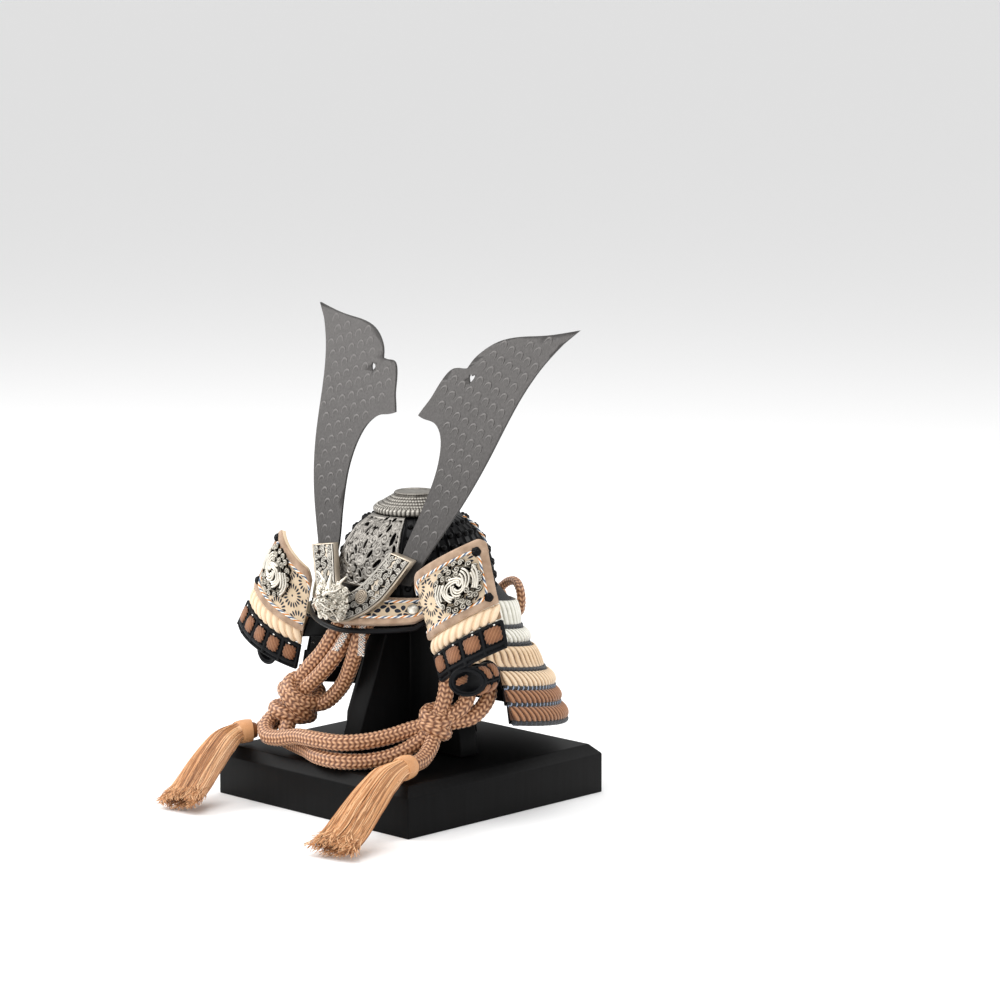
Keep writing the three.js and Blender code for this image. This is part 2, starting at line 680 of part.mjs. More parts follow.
// The lowest lame rolls under into a short open tube that points forward.
function curlGeometry(side) {
  const sign = side.name === 'left' ? 1 : -1;
  const start = v3(sign * CURL.x, CURL.front, CURL.z - side.curlDrop);
  const way = v3(sign * 0.08, 1, 0.12).normalize();
  const { inner, outer, length } = CURL;
  const rings = [[inner, 0], [outer, 0], [outer, length], [inner, length], [inner, 0]];
  const tube = new THREE.LatheGeometry(rings.map(([r, h]) => new THREE.Vector2(r, h)), 14);
  return aimed(placed(tube, [0, 0, 0], [Math.PI / 2, 0, 0]), start, way);
}

// Openwork roundel: a thin dished disc with a rim and curled bars standing on it.
function medallionGeometry(side) {
  const place = (x, y, off) => turnbackPoint(
    side,
    side.medallion[0] + x / PANEL_SPAN,
    side.medallion[1] + y,
    TURNBACK.leather + 1.0 + off,
  );
  const around = steps(16).slice(0, -1).map((t) => t * 2 * Math.PI);
  const ringOf = (radius, off) => around.map((a) => place(radius * Math.cos(a), radius * Math.sin(a), off));
  return loft([
    ringOf(3, 0),
    ringOf(MEDALLION, 0),
    ringOf(MEDALLION, 1.5),
    ringOf(MEDALLION - 1.6, 1.7),
    ringOf(MEDALLION - 2.2, 0.9),
    ringOf(7, 0.9),
    ringOf(5.4, 2.0),
    ringOf(1.2, 2.4),
  ]);
}

function turnbackStudGeometry(side, across, down) {
  const seat = turnbackPoint(side, across, down, TURNBACK.leather + 0.5);
  const outward = turnbackPoint(side, across, down, TURNBACK.leather + 5).sub(seat);
  return aimed(domeGeometry(TURNBACK_STUD, 1.9, 10), seat, outward);
}

for (const side of TURNBACK_SIDES) {
  add(`turnback_${side.name}`, panelGeometry(side), FINISH.printedLeather);
  add(`turnback_medallion_${side.name}`, medallionGeometry(side), FINISH.silver);
  add(`turnback_stud_upper_${side.name}`, turnbackStudGeometry(side, ...side.studs[0]), FINISH.blackLacquer);
  add(`turnback_stud_lower_${side.name}`, turnbackStudGeometry(side, ...side.studs[1]), FINISH.blackLacquer);
  add(`turnback_lacing_${side.name}`, laceRowGeometry(side), FINISH.creamSilk);
  add(`turnback_lame_${side.name}`, lameGeometry(side), FINISH.blackLacquer);
  add(`turnback_curl_${side.name}`, curlGeometry(side), FINISH.blackLacquer);
}

// ---------------------------------------------------------------- neck guard
// One row for each lame, from the top: outer radius and height of its lacing at the middle of the sides, how far
// it comes forward of the sides in degrees, and how much its lacing swells.
const GUARD_ROWS = [
  { top: 107, topRadius: 52.6, low: 95, lowRadius: 54.8, front: 36, swell: 0.2, finish: FINISH.whiteSilk },
  { top: 92.7, topRadius: 57.4, low: 86.6, lowRadius: 58.6, front: 33, swell: 1.0, finish: FINISH.whiteSilk },
  { top: 84.6, topRadius: 62.0, low: 74.6, lowRadius: 66.6, front: 24, swell: 0.2, finish: FINISH.creamSilk },
  { top: 72.6, topRadius: 69.6, low: 65.8, lowRadius: 71.8, front: 6, swell: 1.0, finish: FINISH.creamSilk },
  { top: 63.8, topRadius: 73.0, low: 57.6, lowRadius: 74.6, front: 6, swell: 0.9, finish: FINISH.brownSilk },
  { top: 55.6, topRadius: 76.4, low: 48.8, lowRadius: 78.2, front: 6, swell: 0.9, finish: FINISH.brownSilk },
];

function guardPoint(degrees, radius, z) {
  const point = roundPoint(radians(degrees), radius, z);
  point.z -= GUARD_TILT * (point.y - AXIS_Y);
  return point;
}

function guardBand(row, profile) {
  const spans = 18 + Math.round(row.front / 6);
  return loft(steps(spans).map((t) => {
    const degrees = mix(-row.front, 180 + row.front, t);
    return profile.map(([radius, z]) => guardPoint(degrees, radius, z));
  }));
}

function guardLaceGeometry(row) {
  const middle = mix(row.topRadius, row.lowRadius, 0.5) + row.swell;
  return guardBand(row, [
    [row.topRadius - GUARD_LACE, row.top],
    [row.topRadius, row.top],
    [middle, mix(row.top, row.low, 0.5)],
    [row.lowRadius, row.low],
    [row.lowRadius - GUARD_LACE, row.low],
  ]);
}

function guardPlateGeometry(row) {
  const [high, low] = [row.topRadius - GUARD_LACE - GAP, row.lowRadius - GUARD_LACE - GAP];
  return guardBand(row, [
    [high - GUARD_PLATE, row.top + 0.8],
    [high, row.top + 0.8],
    [low, row.low - 1.6],
    [low - GUARD_PLATE, row.low - 1.6],
  ]);
}

// The top lame turns in to the bowl as a narrow sloping shoulder.
function shoulderGeometry() {
  const [row] = GUARD_ROWS;
  const outer = row.topRadius - GUARD_LACE - GUARD_PLATE - 2 * GAP;
  const reach = row.front - 4;
  return loft(steps(24).map((t) => {
    const degrees = mix(-reach, 180 + reach, t);
    const edge = guardPoint(degrees, outer, row.top + 0.4);
    const root = roundPoint(radians(degrees), SHOULDER.root, SHOULDER.z);
    return [root, edge, edge.clone().add(v3(0, 0, -GUARD_PLATE)), root.clone().add(v3(0, 0, -GUARD_PLATE))];
  }));
}

add('neck_shoulder', shoulderGeometry(), FINISH.blackLacquer);

GUARD_ROWS.forEach((row, i) => {
  add(`neck_plate_${i + 1}`, guardPlateGeometry(row), FINISH.blackLacquer);
  add(`neck_lacing_${i + 1}`, guardLaceGeometry(row), row.finish);
});

// ---------------------------------------------------------------- chin cord
// The silk chin cord is one piece: from inside the bowl down to a knot at each side, and across the slab.
const KNOTS = [
  {
    at: [-38, -44, 49.5],
    core: 9,
    wraps: [{ ring: 9.8, turn: [0.5, 0.6, 0] }, { ring: 9.2, turn: [1.3, -0.5, 0.3] }],
  },
  {
    at: [47.5, -28.6, 49],
    core: 5.6,
    wraps: [{ ring: 4.6, turn: [0.3, 0.5, 0] }, { ring: 4.4, turn: [1.2, -0.4, 0.2] }],
  },
];

// Its runs: three at each side from the bowl to the knot, two across the front, and one to each tassel.
const CORD_RUNS = [
  [[-9, -26, 100], [-11, -34, 86], [-16, -39.5, 74], [-24, -42, 64.5], [-31, -43.5, 58], [-35, -44, 54]],
  [[-18.5, -24, 100], [-20, -34, 87], [-25.5, -38, 76], [-33, -41, 67], [-37.5, -43, 60], [-38, -44, 54]],
  [[0, -27.5, 97], [-1.5, -34.6, 86], [-6.5, -35.5, 72], [-14, -35.5, 59.5], [-24, -38, 50], [-32, -41, 48]],
  [[36, -17, 100], [44, -19, 88], [48.5, -21.5, 76], [50.5, -24, 66], [50, -26, 58], [48.5, -28, 52]],
  [[30, -9, 100], [40, -10, 88], [50, -11.5, 76], [57, -14.5, 66], [57, -19, 57], [51, -26, 51]],
  [[36, 13, 100], [43.5, 9, 88], [52, 3.5, 72], [60, -4, 60], [58.5, -13, 51.5], [51, -24, 48.5]],
  [
    [-42, -46.5, 47], [-46, -51, 43], [-46.5, -58.5, 37.5], [-40, -63.5, 34], [-28, -65.5, 34.8], [-14, -66, 38],
    [2, -67.5, 39], [16, -64.5, 39.2], [25, -56, 40], [32, -46, 42], [38, -37, 45], [44, -31, 47.5],
  ],
  [
    [-37, -49, 43.5], [-35.5, -54.5, 36], [-32, -56.5, 31.6], [-26, -56.5, 30.2], [-14, -60, 30.1], [2, -66.3, 30.1],
    [16, -65.5, 30.1], [27, -57, 30.3], [36, -47, 33], [42.5, -37, 39], [46, -31, 45],
  ],
  [[-42, -44, 47], [-47, -44.5, 42.5], [-51.5, -47.5, 37], [-54.5, -51.5, 34.2], [-56.4, -54.3, 33.2]],
  [[48.5, -30, 46], [51, -35.5, 38.5], [54.2, -44.5, 33.6], [56.6, -53.4, 32.8]],
];

function knotGeometry({ at, wraps, core }) {
  const rings = wraps.map(({ ring, turn }) => placed(new THREE.TorusGeometry(ring, CORD.radius, 6, 12), at, turn));
  return joined([...rings, placed(new THREE.SphereGeometry(core, 8, 6), at)]);
}

function chinCordGeometry() {
  const runs = CORD_RUNS.map((route) => tubeAlong(route, CORD.radius, CORD.sides, 2 * route.length));
  return joined([...runs, ...KNOTS.map(knotGeometry)]);
}

add('chin_cord', chinCordGeometry(), FINISH.cordSilk);

// ---------------------------------------------------------------- tassels
// Way of each tassel: from the cord's end through the bound head, over the slab's edge, and down to the floor.
const TASSELS = {
  tassel_left: [
    [-57.2, -55.6, 33], [-59.6, -59.6, 32.7], [-61.5, -64, 32.2], [-61, -74, 29.5], [-59, -88, 20.5],
    [-56, -102, 10.5], [-53.5, -114, 4.2],
  ],
  tassel_right: [
    [57, -55, 32.7], [58.6, -60, 33], [60.6, -66, 33], [62.5, -79, 30], [65, -95, 20.5],
    [68, -111, 10], [70.5, -124.5, 4.2],
  ],
};
// Half width and half thickness along a tassel.
const TASSEL_FORM = [
  { at: 0, wide: 4.6, thick: 4.6, lobe: 0 },
  { at: 0.04, wide: 5.8, thick: 5.8, lobe: 0 },
  { at: 0.13, wide: 5.8, thick: 5.8, lobe: 0 },
  { at: 0.17, wide: 5.0, thick: 5.0, lobe: 0.3 },
  { at: 0.3, wide: 8.4, thick: 6.4, lobe: 0.7 },
  { at: 0.5, wide: 10.2, thick: 6.2, lobe: 0.9 },
  { at: 0.75, wide: 11.6, thick: 5.2, lobe: 1.0 },
  { at: 1, wide: 12.6, thick: 3.4, lobe: 0.8 },
];
const LOCKS = 9;

function tasselGeometry(route) {
  const curve = new THREE.CatmullRomCurve3(route.map((p) => v3(...p)), false, 'centripetal');
  return loft(TASSEL_FORM.map(({ at, wide, thick, lobe }) => {
    const centre = curve.getPointAt(at);
    const along = curve.getTangentAt(at);
    const side = v3().crossVectors(along, v3(0, 0, 1)).normalize();
    const up = v3().crossVectors(side, along);
    return steps(LOCKS * 2).slice(0, -1).map((t, i) => {
      const angle = 2 * Math.PI * t;
      const swell = i % 2 ? -lobe : 0;
      return centre.clone()
        .addScaledVector(side, (wide + swell) * Math.cos(angle))
        .addScaledVector(up, (thick + swell * 0.6) * Math.sin(angle));
    });
  }));
}

for (const [name, route] of Object.entries(TASSELS)) {
  add(name, tasselGeometry(route), FINISH.tasselSilk);
}

// ---------------------------------------------------------------- ties and rear bow
// Flat braided tape that hangs from inside the visor at each side.
const TIE = { halfWidth: 2.6, thickness: 1.2 };
const TIE_ROUTE = [[5, -37.5, 99], [5.5, -38.6, 92], [7.4, -41, 85], [9.5, -43.6, 80]];

function tieGeometry(sign) {
  const { halfWidth, thickness } = TIE;
  return loft(TIE_ROUTE.map(([x, y, z]) => [
    v3(sign * (x - halfWidth), y, z),
    v3(sign * (x + halfWidth), y, z),
    v3(sign * (x + halfWidth), y - thickness, z),
    v3(sign * (x - halfWidth), y - thickness, z),
  ]));
}

add('tie_left', tieGeometry(-1), FINISH.creamSilk);
add('tie_right', tieGeometry(1), FINISH.creamSilk);

// Two side loops and a knot, hanging at the back over the top lame.
const BOW = { radius: 2.4, sides: 6, knot: 5, knotY: 63.2, knotZ: 96 };
const BOW_LOOP = [
  [3, 62.4, 99.5], [11, 61.5, 104.5], [18, 59.5, 105.3], [23.3, 57, 102], [25, 56.2, 97],
  [23.3, 57.4, 91.8], [18, 60.5, 88.8], [11, 63.2, 88.6], [3, 64.2, 92.5],
];

function bowGeometry() {
  const loops = [-1, 1].map((sign) => (
    tubeAlong(BOW_LOOP.map(([x, y, z]) => [sign * x, y, z]), BOW.radius, BOW.sides, 16)
  ));
  return joined([...loops, placed(new THREE.SphereGeometry(BOW.knot, 8, 6), [0, BOW.knotY, BOW.knotZ])]);
}

add('rear_bow', bowGeometry(), FINISH.cordSilk);

export default object;
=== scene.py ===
"""Looks of a small kabuto, a laced samurai helmet, on its black wooden stand.

Every length in the classes is in millimetres. Points become metres when a piece is made.
"""

import json
import logging
import math
import random
from collections import Counter
from dataclasses import dataclass, field
from enum import Enum
from typing import Callable, Iterable, Sequence

import bpy
import numpy as np
from mathutils import Matrix, Vector

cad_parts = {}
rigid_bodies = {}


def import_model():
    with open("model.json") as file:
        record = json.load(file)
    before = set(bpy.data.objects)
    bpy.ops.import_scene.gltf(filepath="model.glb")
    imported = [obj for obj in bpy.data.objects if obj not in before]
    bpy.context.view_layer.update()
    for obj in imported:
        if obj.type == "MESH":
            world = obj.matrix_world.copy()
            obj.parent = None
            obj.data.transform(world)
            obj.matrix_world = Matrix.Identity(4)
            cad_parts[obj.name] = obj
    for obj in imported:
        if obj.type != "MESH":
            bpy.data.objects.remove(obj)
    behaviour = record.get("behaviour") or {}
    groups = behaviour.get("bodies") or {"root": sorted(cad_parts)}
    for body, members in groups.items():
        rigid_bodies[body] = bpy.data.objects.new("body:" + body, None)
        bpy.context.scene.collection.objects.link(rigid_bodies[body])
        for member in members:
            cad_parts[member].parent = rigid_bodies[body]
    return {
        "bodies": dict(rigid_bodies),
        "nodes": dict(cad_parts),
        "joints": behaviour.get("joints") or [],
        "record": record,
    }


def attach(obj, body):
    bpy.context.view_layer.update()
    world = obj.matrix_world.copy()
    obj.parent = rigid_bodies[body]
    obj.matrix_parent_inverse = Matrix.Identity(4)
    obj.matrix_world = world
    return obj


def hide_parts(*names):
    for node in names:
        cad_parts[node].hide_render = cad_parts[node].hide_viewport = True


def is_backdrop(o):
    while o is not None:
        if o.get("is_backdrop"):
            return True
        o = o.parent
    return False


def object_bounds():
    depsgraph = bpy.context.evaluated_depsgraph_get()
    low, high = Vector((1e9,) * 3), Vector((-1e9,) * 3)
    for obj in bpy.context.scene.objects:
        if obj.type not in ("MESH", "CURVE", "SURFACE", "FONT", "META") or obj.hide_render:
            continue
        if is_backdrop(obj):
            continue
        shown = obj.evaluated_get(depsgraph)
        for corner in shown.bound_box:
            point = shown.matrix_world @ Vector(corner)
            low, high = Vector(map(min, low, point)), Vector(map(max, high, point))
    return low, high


MM = 0.001
BODY = "root"
Triple = tuple[float, float, float]
Surface = Callable[[np.ndarray, np.ndarray, np.ndarray], np.ndarray]
log = logging.getLogger("kabuto")


# ---------------------------------------------------------------- colours and nodes
def linear(hex_colour: str) -> tuple[float, float, float, float]:
    """Turns an sRGB hex colour into the linear values that shaders use.

    Args:
        hex_colour: six hex digits, such as "c9c5bc".

    Returns:
        Red, green, blue and an alpha of one.
    """
    channels = [int(hex_colour[i : i + 2], 16) / 255 for i in (0, 2, 4)]
    bent = [c / 12.92 if c <= 0.04045 else ((c + 0.055) / 1.055) ** 2.4 for c in channels]
    return (bent[0], bent[1], bent[2], 1.0)


class Tree:
    """A material's nodes, with one way to add each of them."""

    def __init__(self, name: str) -> None:
        """Starts a material of that name with a bare surface shader."""
        self.material = bpy.data.materials.new(name)
        self.material.use_nodes = True
        self.nodes = self.material.node_tree.nodes
        self.shader = self.nodes["Principled BSDF"]

    def add(self, kind: str, settings: dict | None = None, **links: object) -> bpy.types.Node:
        """Adds a node.

        Args:
            kind: the node's type without its ShaderNode prefix.
            settings: its own properties.
            links: input names, with spaces as underscores or as i and a number, and what feeds each.

        Returns:
            The node.
        """
        node = self.nodes.new("ShaderNode" + kind)
        for key, value in (settings or {}).items():
            setattr(node, key, value)
        for key, value in links.items():
            name = key.replace("_", " ")
            by_number = name[0] == "i" and name[1:].isdigit()
            self.feed(node.inputs[int(name[1:]) if by_number else name], value)
        return node

    def feed(self, socket: bpy.types.NodeSocket, value: object) -> None:
        """Links an output to a socket, or sets the socket's own value."""
        if isinstance(value, bpy.types.NodeSocket):
            self.material.node_tree.links.new(value, socket)
        else:
            socket.default_value = value

    def surface(self, **inputs: object) -> None:
        """Sets the shader's inputs, by name with spaces as underscores."""
        for key, value in inputs.items():
            self.feed(self.shader.inputs[key.replace("_", " ")], value)

    def ramp(self, factor: bpy.types.NodeSocket, stops: Sequence[tuple[float, str]]) -> bpy.types.NodeSocket:
        """Adds a colour ramp.

        Args:
            factor: what drives it.
            stops: places from 0 to 1, each with a hex colour.

        Returns:
            The ramp's colour.
        """
        node = self.add("ValToRGB", Fac=factor)
        band = node.color_ramp
        while len(band.elements) < len(stops):
            band.elements.new(0.5)
        for element, (place, colour) in zip(band.elements, stops):
            element.position = place
            element.color = linear(colour)
        return node.outputs["Color"]

    def grain(self, per_mm: float, detail: float = 3.0, stretch: Triple = (1, 1, 1)) -> bpy.types.NodeSocket:
        """Adds fine noise in the piece's own place.

        Args:
            per_mm: how many grains there are in a millimetre.
            detail: how many finer layers there are.
            stretch: how much denser it is along each axis.

        Returns:
            The noise, from 0 to 1.
        """
        place = self.add("TexCoord").outputs["Object"]
        mapped = self.add("Mapping", Vector=place, Scale=stretch).outputs["Vector"]
        return self.add("TexNoise", Vector=mapped, Scale=per_mm / MM, Detail=detail).outputs["Fac"]

    def attribute(self, name: str, output: str = "Fac") -> bpy.types.NodeSocket:
        """Reads one of the mesh's own attributes."""
        return self.add("Attribute", {"attribute_name": name}).outputs[output]

    def clouded(
        self, tone: bpy.types.NodeSocket, noise: bpy.types.NodeSocket, amount: float
    ) -> bpy.types.NodeSocket:
        """Shifts a tone by noise.

        Args:
            tone: what is shifted.
            noise: the noise, from 0 to 1.
            amount: how far apart the noise's two ends are.

        Returns:
            The shifted tone, kept from 0 to 1.
        """
        spread = self.add("Math", {"operation": "MULTIPLY_ADD"}, i0=noise, i1=amount, i2=-amount / 2)
        added = self.add("Math", {"operation": "ADD", "use_clamp": True}, i0=tone, i1=spread.outputs[0])
        return added.outputs[0]

    def bump(self, height: bpy.types.NodeSocket, depth: float, strength: float = 1.0) -> bpy.types.NodeSocket:
        """Adds a bump of a depth in millimetres, and returns its normal."""
        return self.add("Bump", Height=height, Distance=depth * MM, Strength=strength).outputs["Normal"]


# ---------------------------------------------------------------- finishes
@dataclass(frozen=True)
class BlackWood:
    """Satin black lacquer over close-grained wood: soft broad highlights, and grain that only just shows."""

    low: str = "040404"
    high: str = "0a0a0b"
    grain_per_mm: float = 0.45
    grain_depth: float = 0.05
    roughness: float = 0.5
    gloss: float = 0.1

    def make(self) -> bpy.types.Material:
        """Returns the material."""
        tree = Tree("satin_black_lacquered_wood")
        grain = tree.grain(self.grain_per_mm, 5, (1.0, 1.0, 0.06))
        tree.surface(Base_Color=tree.ramp(grain, [(0.3, self.low), (0.75, self.high)]))
        tree.surface(Roughness=self.roughness, Specular_IOR_Level=self.gloss)
        tree.surface(Normal=tree.bump(grain, self.grain_depth, 0.5))
        return tree.material


@dataclass(frozen=True)
class BlackLacquer:
    """Gloss black lacquer on thin plate: near-black, with clear highlights and a faintly uneven skin."""

    colour: str = "050507"
    roughness: float = 0.38
    gloss: float = 0.12
    coat: float = 0.02
    coat_roughness: float = 0.1
    ripples_per_mm: float = 0.35
    ripple_depth: float = 0.02

    def make(self) -> bpy.types.Material:
        """Returns the material."""
        tree = Tree("gloss_black_lacquer")
        tree.surface(Base_Color=linear(self.colour), Roughness=self.roughness, Specular_IOR_Level=self.gloss)
        tree.surface(Coat_Weight=self.coat, Coat_Roughness=self.coat_roughness)
        tree.surface(Normal=tree.bump(tree.grain(self.ripples_per_mm, 2), self.ripple_depth, 0.35))
        return tree.material


@dataclass(frozen=True)
class AntiqueSilver:
    """Silver plate, rubbed bright where the relief attribute stands high, and dark where it is low."""

    name: str = "antiqued_silver_plate"
    recess: str = "141210"
    middle: str = "56524d"
    crest: str = "aca8a0"
    bright_from: float = 0.88
    clouding: float = 0.34
    recess_roughness: float = 0.7
    crest_roughness: float = 0.42

    def make(self) -> bpy.types.Material:
        """Returns the material."""
        tree = Tree(self.name)
        mixed = tree.clouded(tree.attribute("relief"), tree.grain(0.5, 4), self.clouding)
        stops = [(0.16, self.recess), (0.5, self.middle), (self.bright_from, self.crest)]
        rough = tree.add("MapRange", Value=mixed, To_Min=self.recess_roughness, To_Max=self.crest_roughness)
        tree.surface(Base_Color=tree.ramp(mixed, stops), Metallic=1.0, Roughness=rough.outputs[0])
        tree.surface(Normal=tree.bump(tree.grain(2.2, 3), 0.03, 0.45))
        return tree.material


@dataclass(frozen=True)
class Gunmetal:
    """Satin gunmetal sheet: dull grey metal, with painted shade beside the stamped marks and a painted
    highlight on their ridges.
    """

    low: str = "282625"
    high: str = "807d7b"
    clouding: float = 0.3
    metal: float = 0.7
    roughness: float = 0.46

    def make(self) -> bpy.types.Material:
        """Returns the material."""
        tree = Tree("satin_gunmetal")
        brush = tree.grain(1.6, 4, (1.0, 1.0, 0.25))
        mixed = tree.clouded(tree.attribute("relief"), brush, self.clouding)
        tree.surface(Base_Color=tree.ramp(mixed, [(0.1, self.low), (0.9, self.high)]), Metallic=self.metal)
        tree.surface(Roughness=self.roughness, Normal=tree.bump(brush, 0.02, 0.5))
        return tree.material


@dataclass(frozen=True)
class Leather:
    """Thin dressed hide: fine pores, soft broad sheen and a slightly clouded colour."""

    name: str
    low: str
    high: str
    pores_per_mm: float = 2.4
    pore_depth: float = 0.05
    roughness: float = 0.62
    sheen: float = 0.0
    gloss: float = 0.5

    def make(self) -> bpy.types.Material:
        """Returns the material."""
        tree = Tree(self.name)
        colour = tree.ramp(tree.grain(0.16, 5), [(0.3, self.low), (0.7, self.high)])
        pores = tree.grain(self.pores_per_mm, 3)
        tree.surface(Base_Color=colour, Roughness=self.roughness, Specular_IOR_Level=self.gloss)
        tree.surface(Sheen_Weight=self.sheen, Sheen_Roughness=0.5)
        tree.surface(Normal=tree.bump(pores, self.pore_depth, 0.8))
        return tree.material


@dataclass(frozen=True)
class Silk:
    """Silk laid in strands: the relief attribute carries painted shade in the grooves between strands and a
    painted highlight on their crests, and fine fibres catch light.
    """

    name: str
    low: str
    middle: str
    high: str
    fibres_per_mm: float = 3.0
    roughness: float = 0.6
    sheen: float = 0.35
    fibre_tone: float = 0.24
    fibre_depth: float = 0.06

    def make(self) -> bpy.types.Material:
        """Returns the material."""
        tree = Tree(self.name)
        fibre = tree.grain(self.fibres_per_mm, 2, (1.0, 1.0, 0.5))
        mixed = tree.clouded(tree.attribute("relief"), fibre, self.fibre_tone)
        stops = [(0.0, self.low), (0.5, self.middle), (1.0, self.high)]
        tree.surface(Base_Color=tree.ramp(mixed, stops), Roughness=self.roughness)
        tree.surface(Sheen_Weight=self.sheen, Sheen_Roughness=0.4)
        tree.surface(Normal=tree.bump(fibre, self.fibre_depth, 0.8))
        return tree.material


@dataclass(frozen=True)
class DyedThread:
    """Short dyed threads side by side: each point carries its own colour in the tint attribute."""

    roughness: float = 0.65
    sheen: float = 0.2

    def make(self) -> bpy.types.Material:
        """Returns the material."""
        tree = Tree("dyed_thread")
        tree.surface(Base_Color=tree.attribute("tint", "Color"))
        tree.surface(Roughness=self.roughness, Sheen_Weight=self.sheen)
        tree.surface(Normal=tree.bump(tree.grain(4.0, 2), 0.03, 0.6))
        return tree.material


@dataclass(frozen=True)
class Ink:
    """Flat printing ink that has sunk into the hide, so it is matt and a little worn."""

    colour: str = "12182a"
    worn: str = "27314a"
    roughness: float = 0.6

    def make(self) -> bpy.types.Material:
        """Returns the material."""
        tree = Tree("navy_printing_ink")
        stops = [(0.2, self.worn), (0.42, self.colour)]
        tree.surface(Base_Color=tree.ramp(tree.grain(1.2, 3), stops), Roughness=self.roughness)
        return tree.material


class Finishes:
    """Every finish of the helmet, made once each."""

    def __init__(self) -> None:
        """Makes the materials."""
        self.wood = BlackWood().make()
        self.lacquer = BlackLacquer().make()
        self.silver = AntiqueSilver().make()
        self.satin_silver = AntiqueSilver("warm_satin_silver", "5a5046", "93887a", "b9ad9c", 1.0).make()
        self.bright_silver = AntiqueSilver("bright_silver_plate", "1b1814", "8a8478", "e4dfd4", 0.82).make()
        self.cast_silver = AntiqueSilver("dark_cast_silver", "0c0b0a", "403d39", "918d87", 0.86).make()
        self.gunmetal = Gunmetal().make()
        self.leather = Leather("cream_printing_leather", "d3bc9b", "e2cdb0").make()
        self.suede = Leather("pink_beige_suede", "967a62", "c4a78e", 3.0, 0.45, 0.9, sheen=0.2).make()
        self.cloth = Leather("dark_lacquered_hide", "07080a", "0f1115", 2.2, 0.2, 0.5, gloss=0.15).make()
        # Each silk's first colour is painted shade for its grooves and gaps, and its last a painted highlight
        # for its crests.
        self.white_silk = Silk("white_lacing_silk", "6f6a58", "e4e1d4", "fbf9f2").make()
        self.cream_silk = Silk("cream_lacing_silk", "5e3d22", "e0c09a", "f8e3c6").make()
        self.brown_silk = Silk("brown_lacing_silk", "2a140a", "7f502f", "b9855e").make()
        cord_shade_to_highlight, tassel_tones = ("240f06", "7f4d2d", "e6b48a"), ("6d3f1c", "cd9360", "f6cd9f")
        self.cord_silk = Silk("bronze_brown_braided_silk", *cord_shade_to_highlight, 3.5, 0.4, 0.28).make()
        self.tassel_silk = Silk("copper_gold_tassel_silk", *tassel_tones, 2.0, 0.38, 0.2).make()
        self.thread = DyedThread().make()
        self.ink = Ink().make()


# ---------------------------------------------------------------- bpy.ops helpers
def deselect_all() -> None:
    """Leaves object mode with nothing selected."""
    if bpy.context.mode != "OBJECT":
        bpy.ops.object.mode_set(mode="OBJECT")
    bpy.ops.object.select_all(action="DESELECT")


def activate(obj: bpy.types.Object) -> None:
    """Makes one object the only one that operators act on."""
    deselect_all()
    obj.select_set(True)
    bpy.context.view_layer.objects.active = obj


def modifier(obj: bpy.types.Object, kind: str, **settings: object) -> None:
    """Adds a modifier with its settings and applies it."""
    activate(obj)
    bpy.ops.object.modifier_add(type=kind)
    added = obj.modifiers[-1]
    for key, value in settings.items():
        setattr(added, key, value)
    bpy.ops.object.modifier_apply(modifier=added.name)


def edit_whole(obj: bpy.types.Object) -> None:
    """Enters edit mode with all of one mesh selected."""
    activate(obj)
    bpy.ops.object.mode_set(mode="EDIT")
    bpy.ops.mesh.select_all(action="SELECT")


def leave_edit() -> None:
    """Goes back to object mode."""
    bpy.ops.object.mode_set(mode="OBJECT")


def close_skin(obj: bpy.types.Object) -> None:
    """Turns the faces of closed shapes outwards."""
    edit_whole(obj)
    bpy.ops.mesh.normals_make_consistent(inside=False)
    leave_edit()


def bevel(obj: bpy.types.Object, width: float, segments: int, sharper: float) -> None:
    """Rounds edges.

    Args:
        obj: the mesh.
        width: how far the rounding reaches, in millimetres.
        segments: faces across it.
        sharper: only edges sharper than this many degrees are rounded.
    """
    limit = math.radians(sharper)
    modifier(obj, "BEVEL", width=width * MM, segments=segments, limit_method="ANGLE", angle_limit=limit)


def places(obj: bpy.types.Object) -> np.ndarray:
    """Reads where a mesh's points are, in millimetres."""
    return np.array([vertex.co for vertex in obj.data.vertices]) / MM


def move_to(obj: bpy.types.Object, spots: np.ndarray) -> None:
    """Moves a mesh's points to new places, in millimetres."""
    obj.data.vertices.foreach_set("co", (spots * MM).ravel())
    obj.data.update()


def cad_copy(node: str) -> bpy.types.Object:
    """Copies a CAD node into a mesh of its own, with its triangles merged and its flat faces made whole.

    Args:
        node: the CAD node.

    Returns:
        The copy, at the same place.
    """
    source = bpy.data.objects[node]
    mesh = source.data.copy()
    mesh.materials.clear()
    copy = bpy.data.objects.new(node + "_copy", mesh)
    bpy.context.scene.collection.objects.link(copy)
    edit_whole(copy)
    bpy.ops.mesh.remove_doubles(threshold=0.01 * MM)
    bpy.ops.mesh.dissolve_limited(angle_limit=math.radians(0.5))
    leave_edit()
    return copy


def tone(obj: bpy.types.Object, value: float | np.ndarray) -> None:
    """Gives a piece its relief, one value or one for each point, which its finish turns into a shade."""
    shade = obj.data.attributes.new("relief", "FLOAT", "POINT")
    shade.data.foreach_set("value", np.full(len(obj.data.vertices), value))


def dress(
    obj: bpy.types.Object,
    name: str,
    material: bpy.types.Material,
    nodes: Iterable[str] = (),
    smooth: float = 35.0,
) -> bpy.types.Object:
    """Names a finished piece, gives it its material, and hides the CAD nodes that it replaces.

    Args:
        obj: the piece.
        name: its plain name.
        material: its finish.
        nodes: the CAD nodes that it replaces.
        smooth: edges flatter than this many degrees are shaded smooth.

    Returns:
        The piece.
    """
    obj.name = name
    obj.data.name = name
    obj.data.materials.clear()
    obj.data.materials.append(material)
    activate(obj)
    bpy.ops.object.shade_smooth_by_angle(angle=math.radians(smooth))
    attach(obj, BODY)
    if nodes:
        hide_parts(*nodes)
    log.info("%s: %d faces", name, len(obj.data.polygons))
    return obj


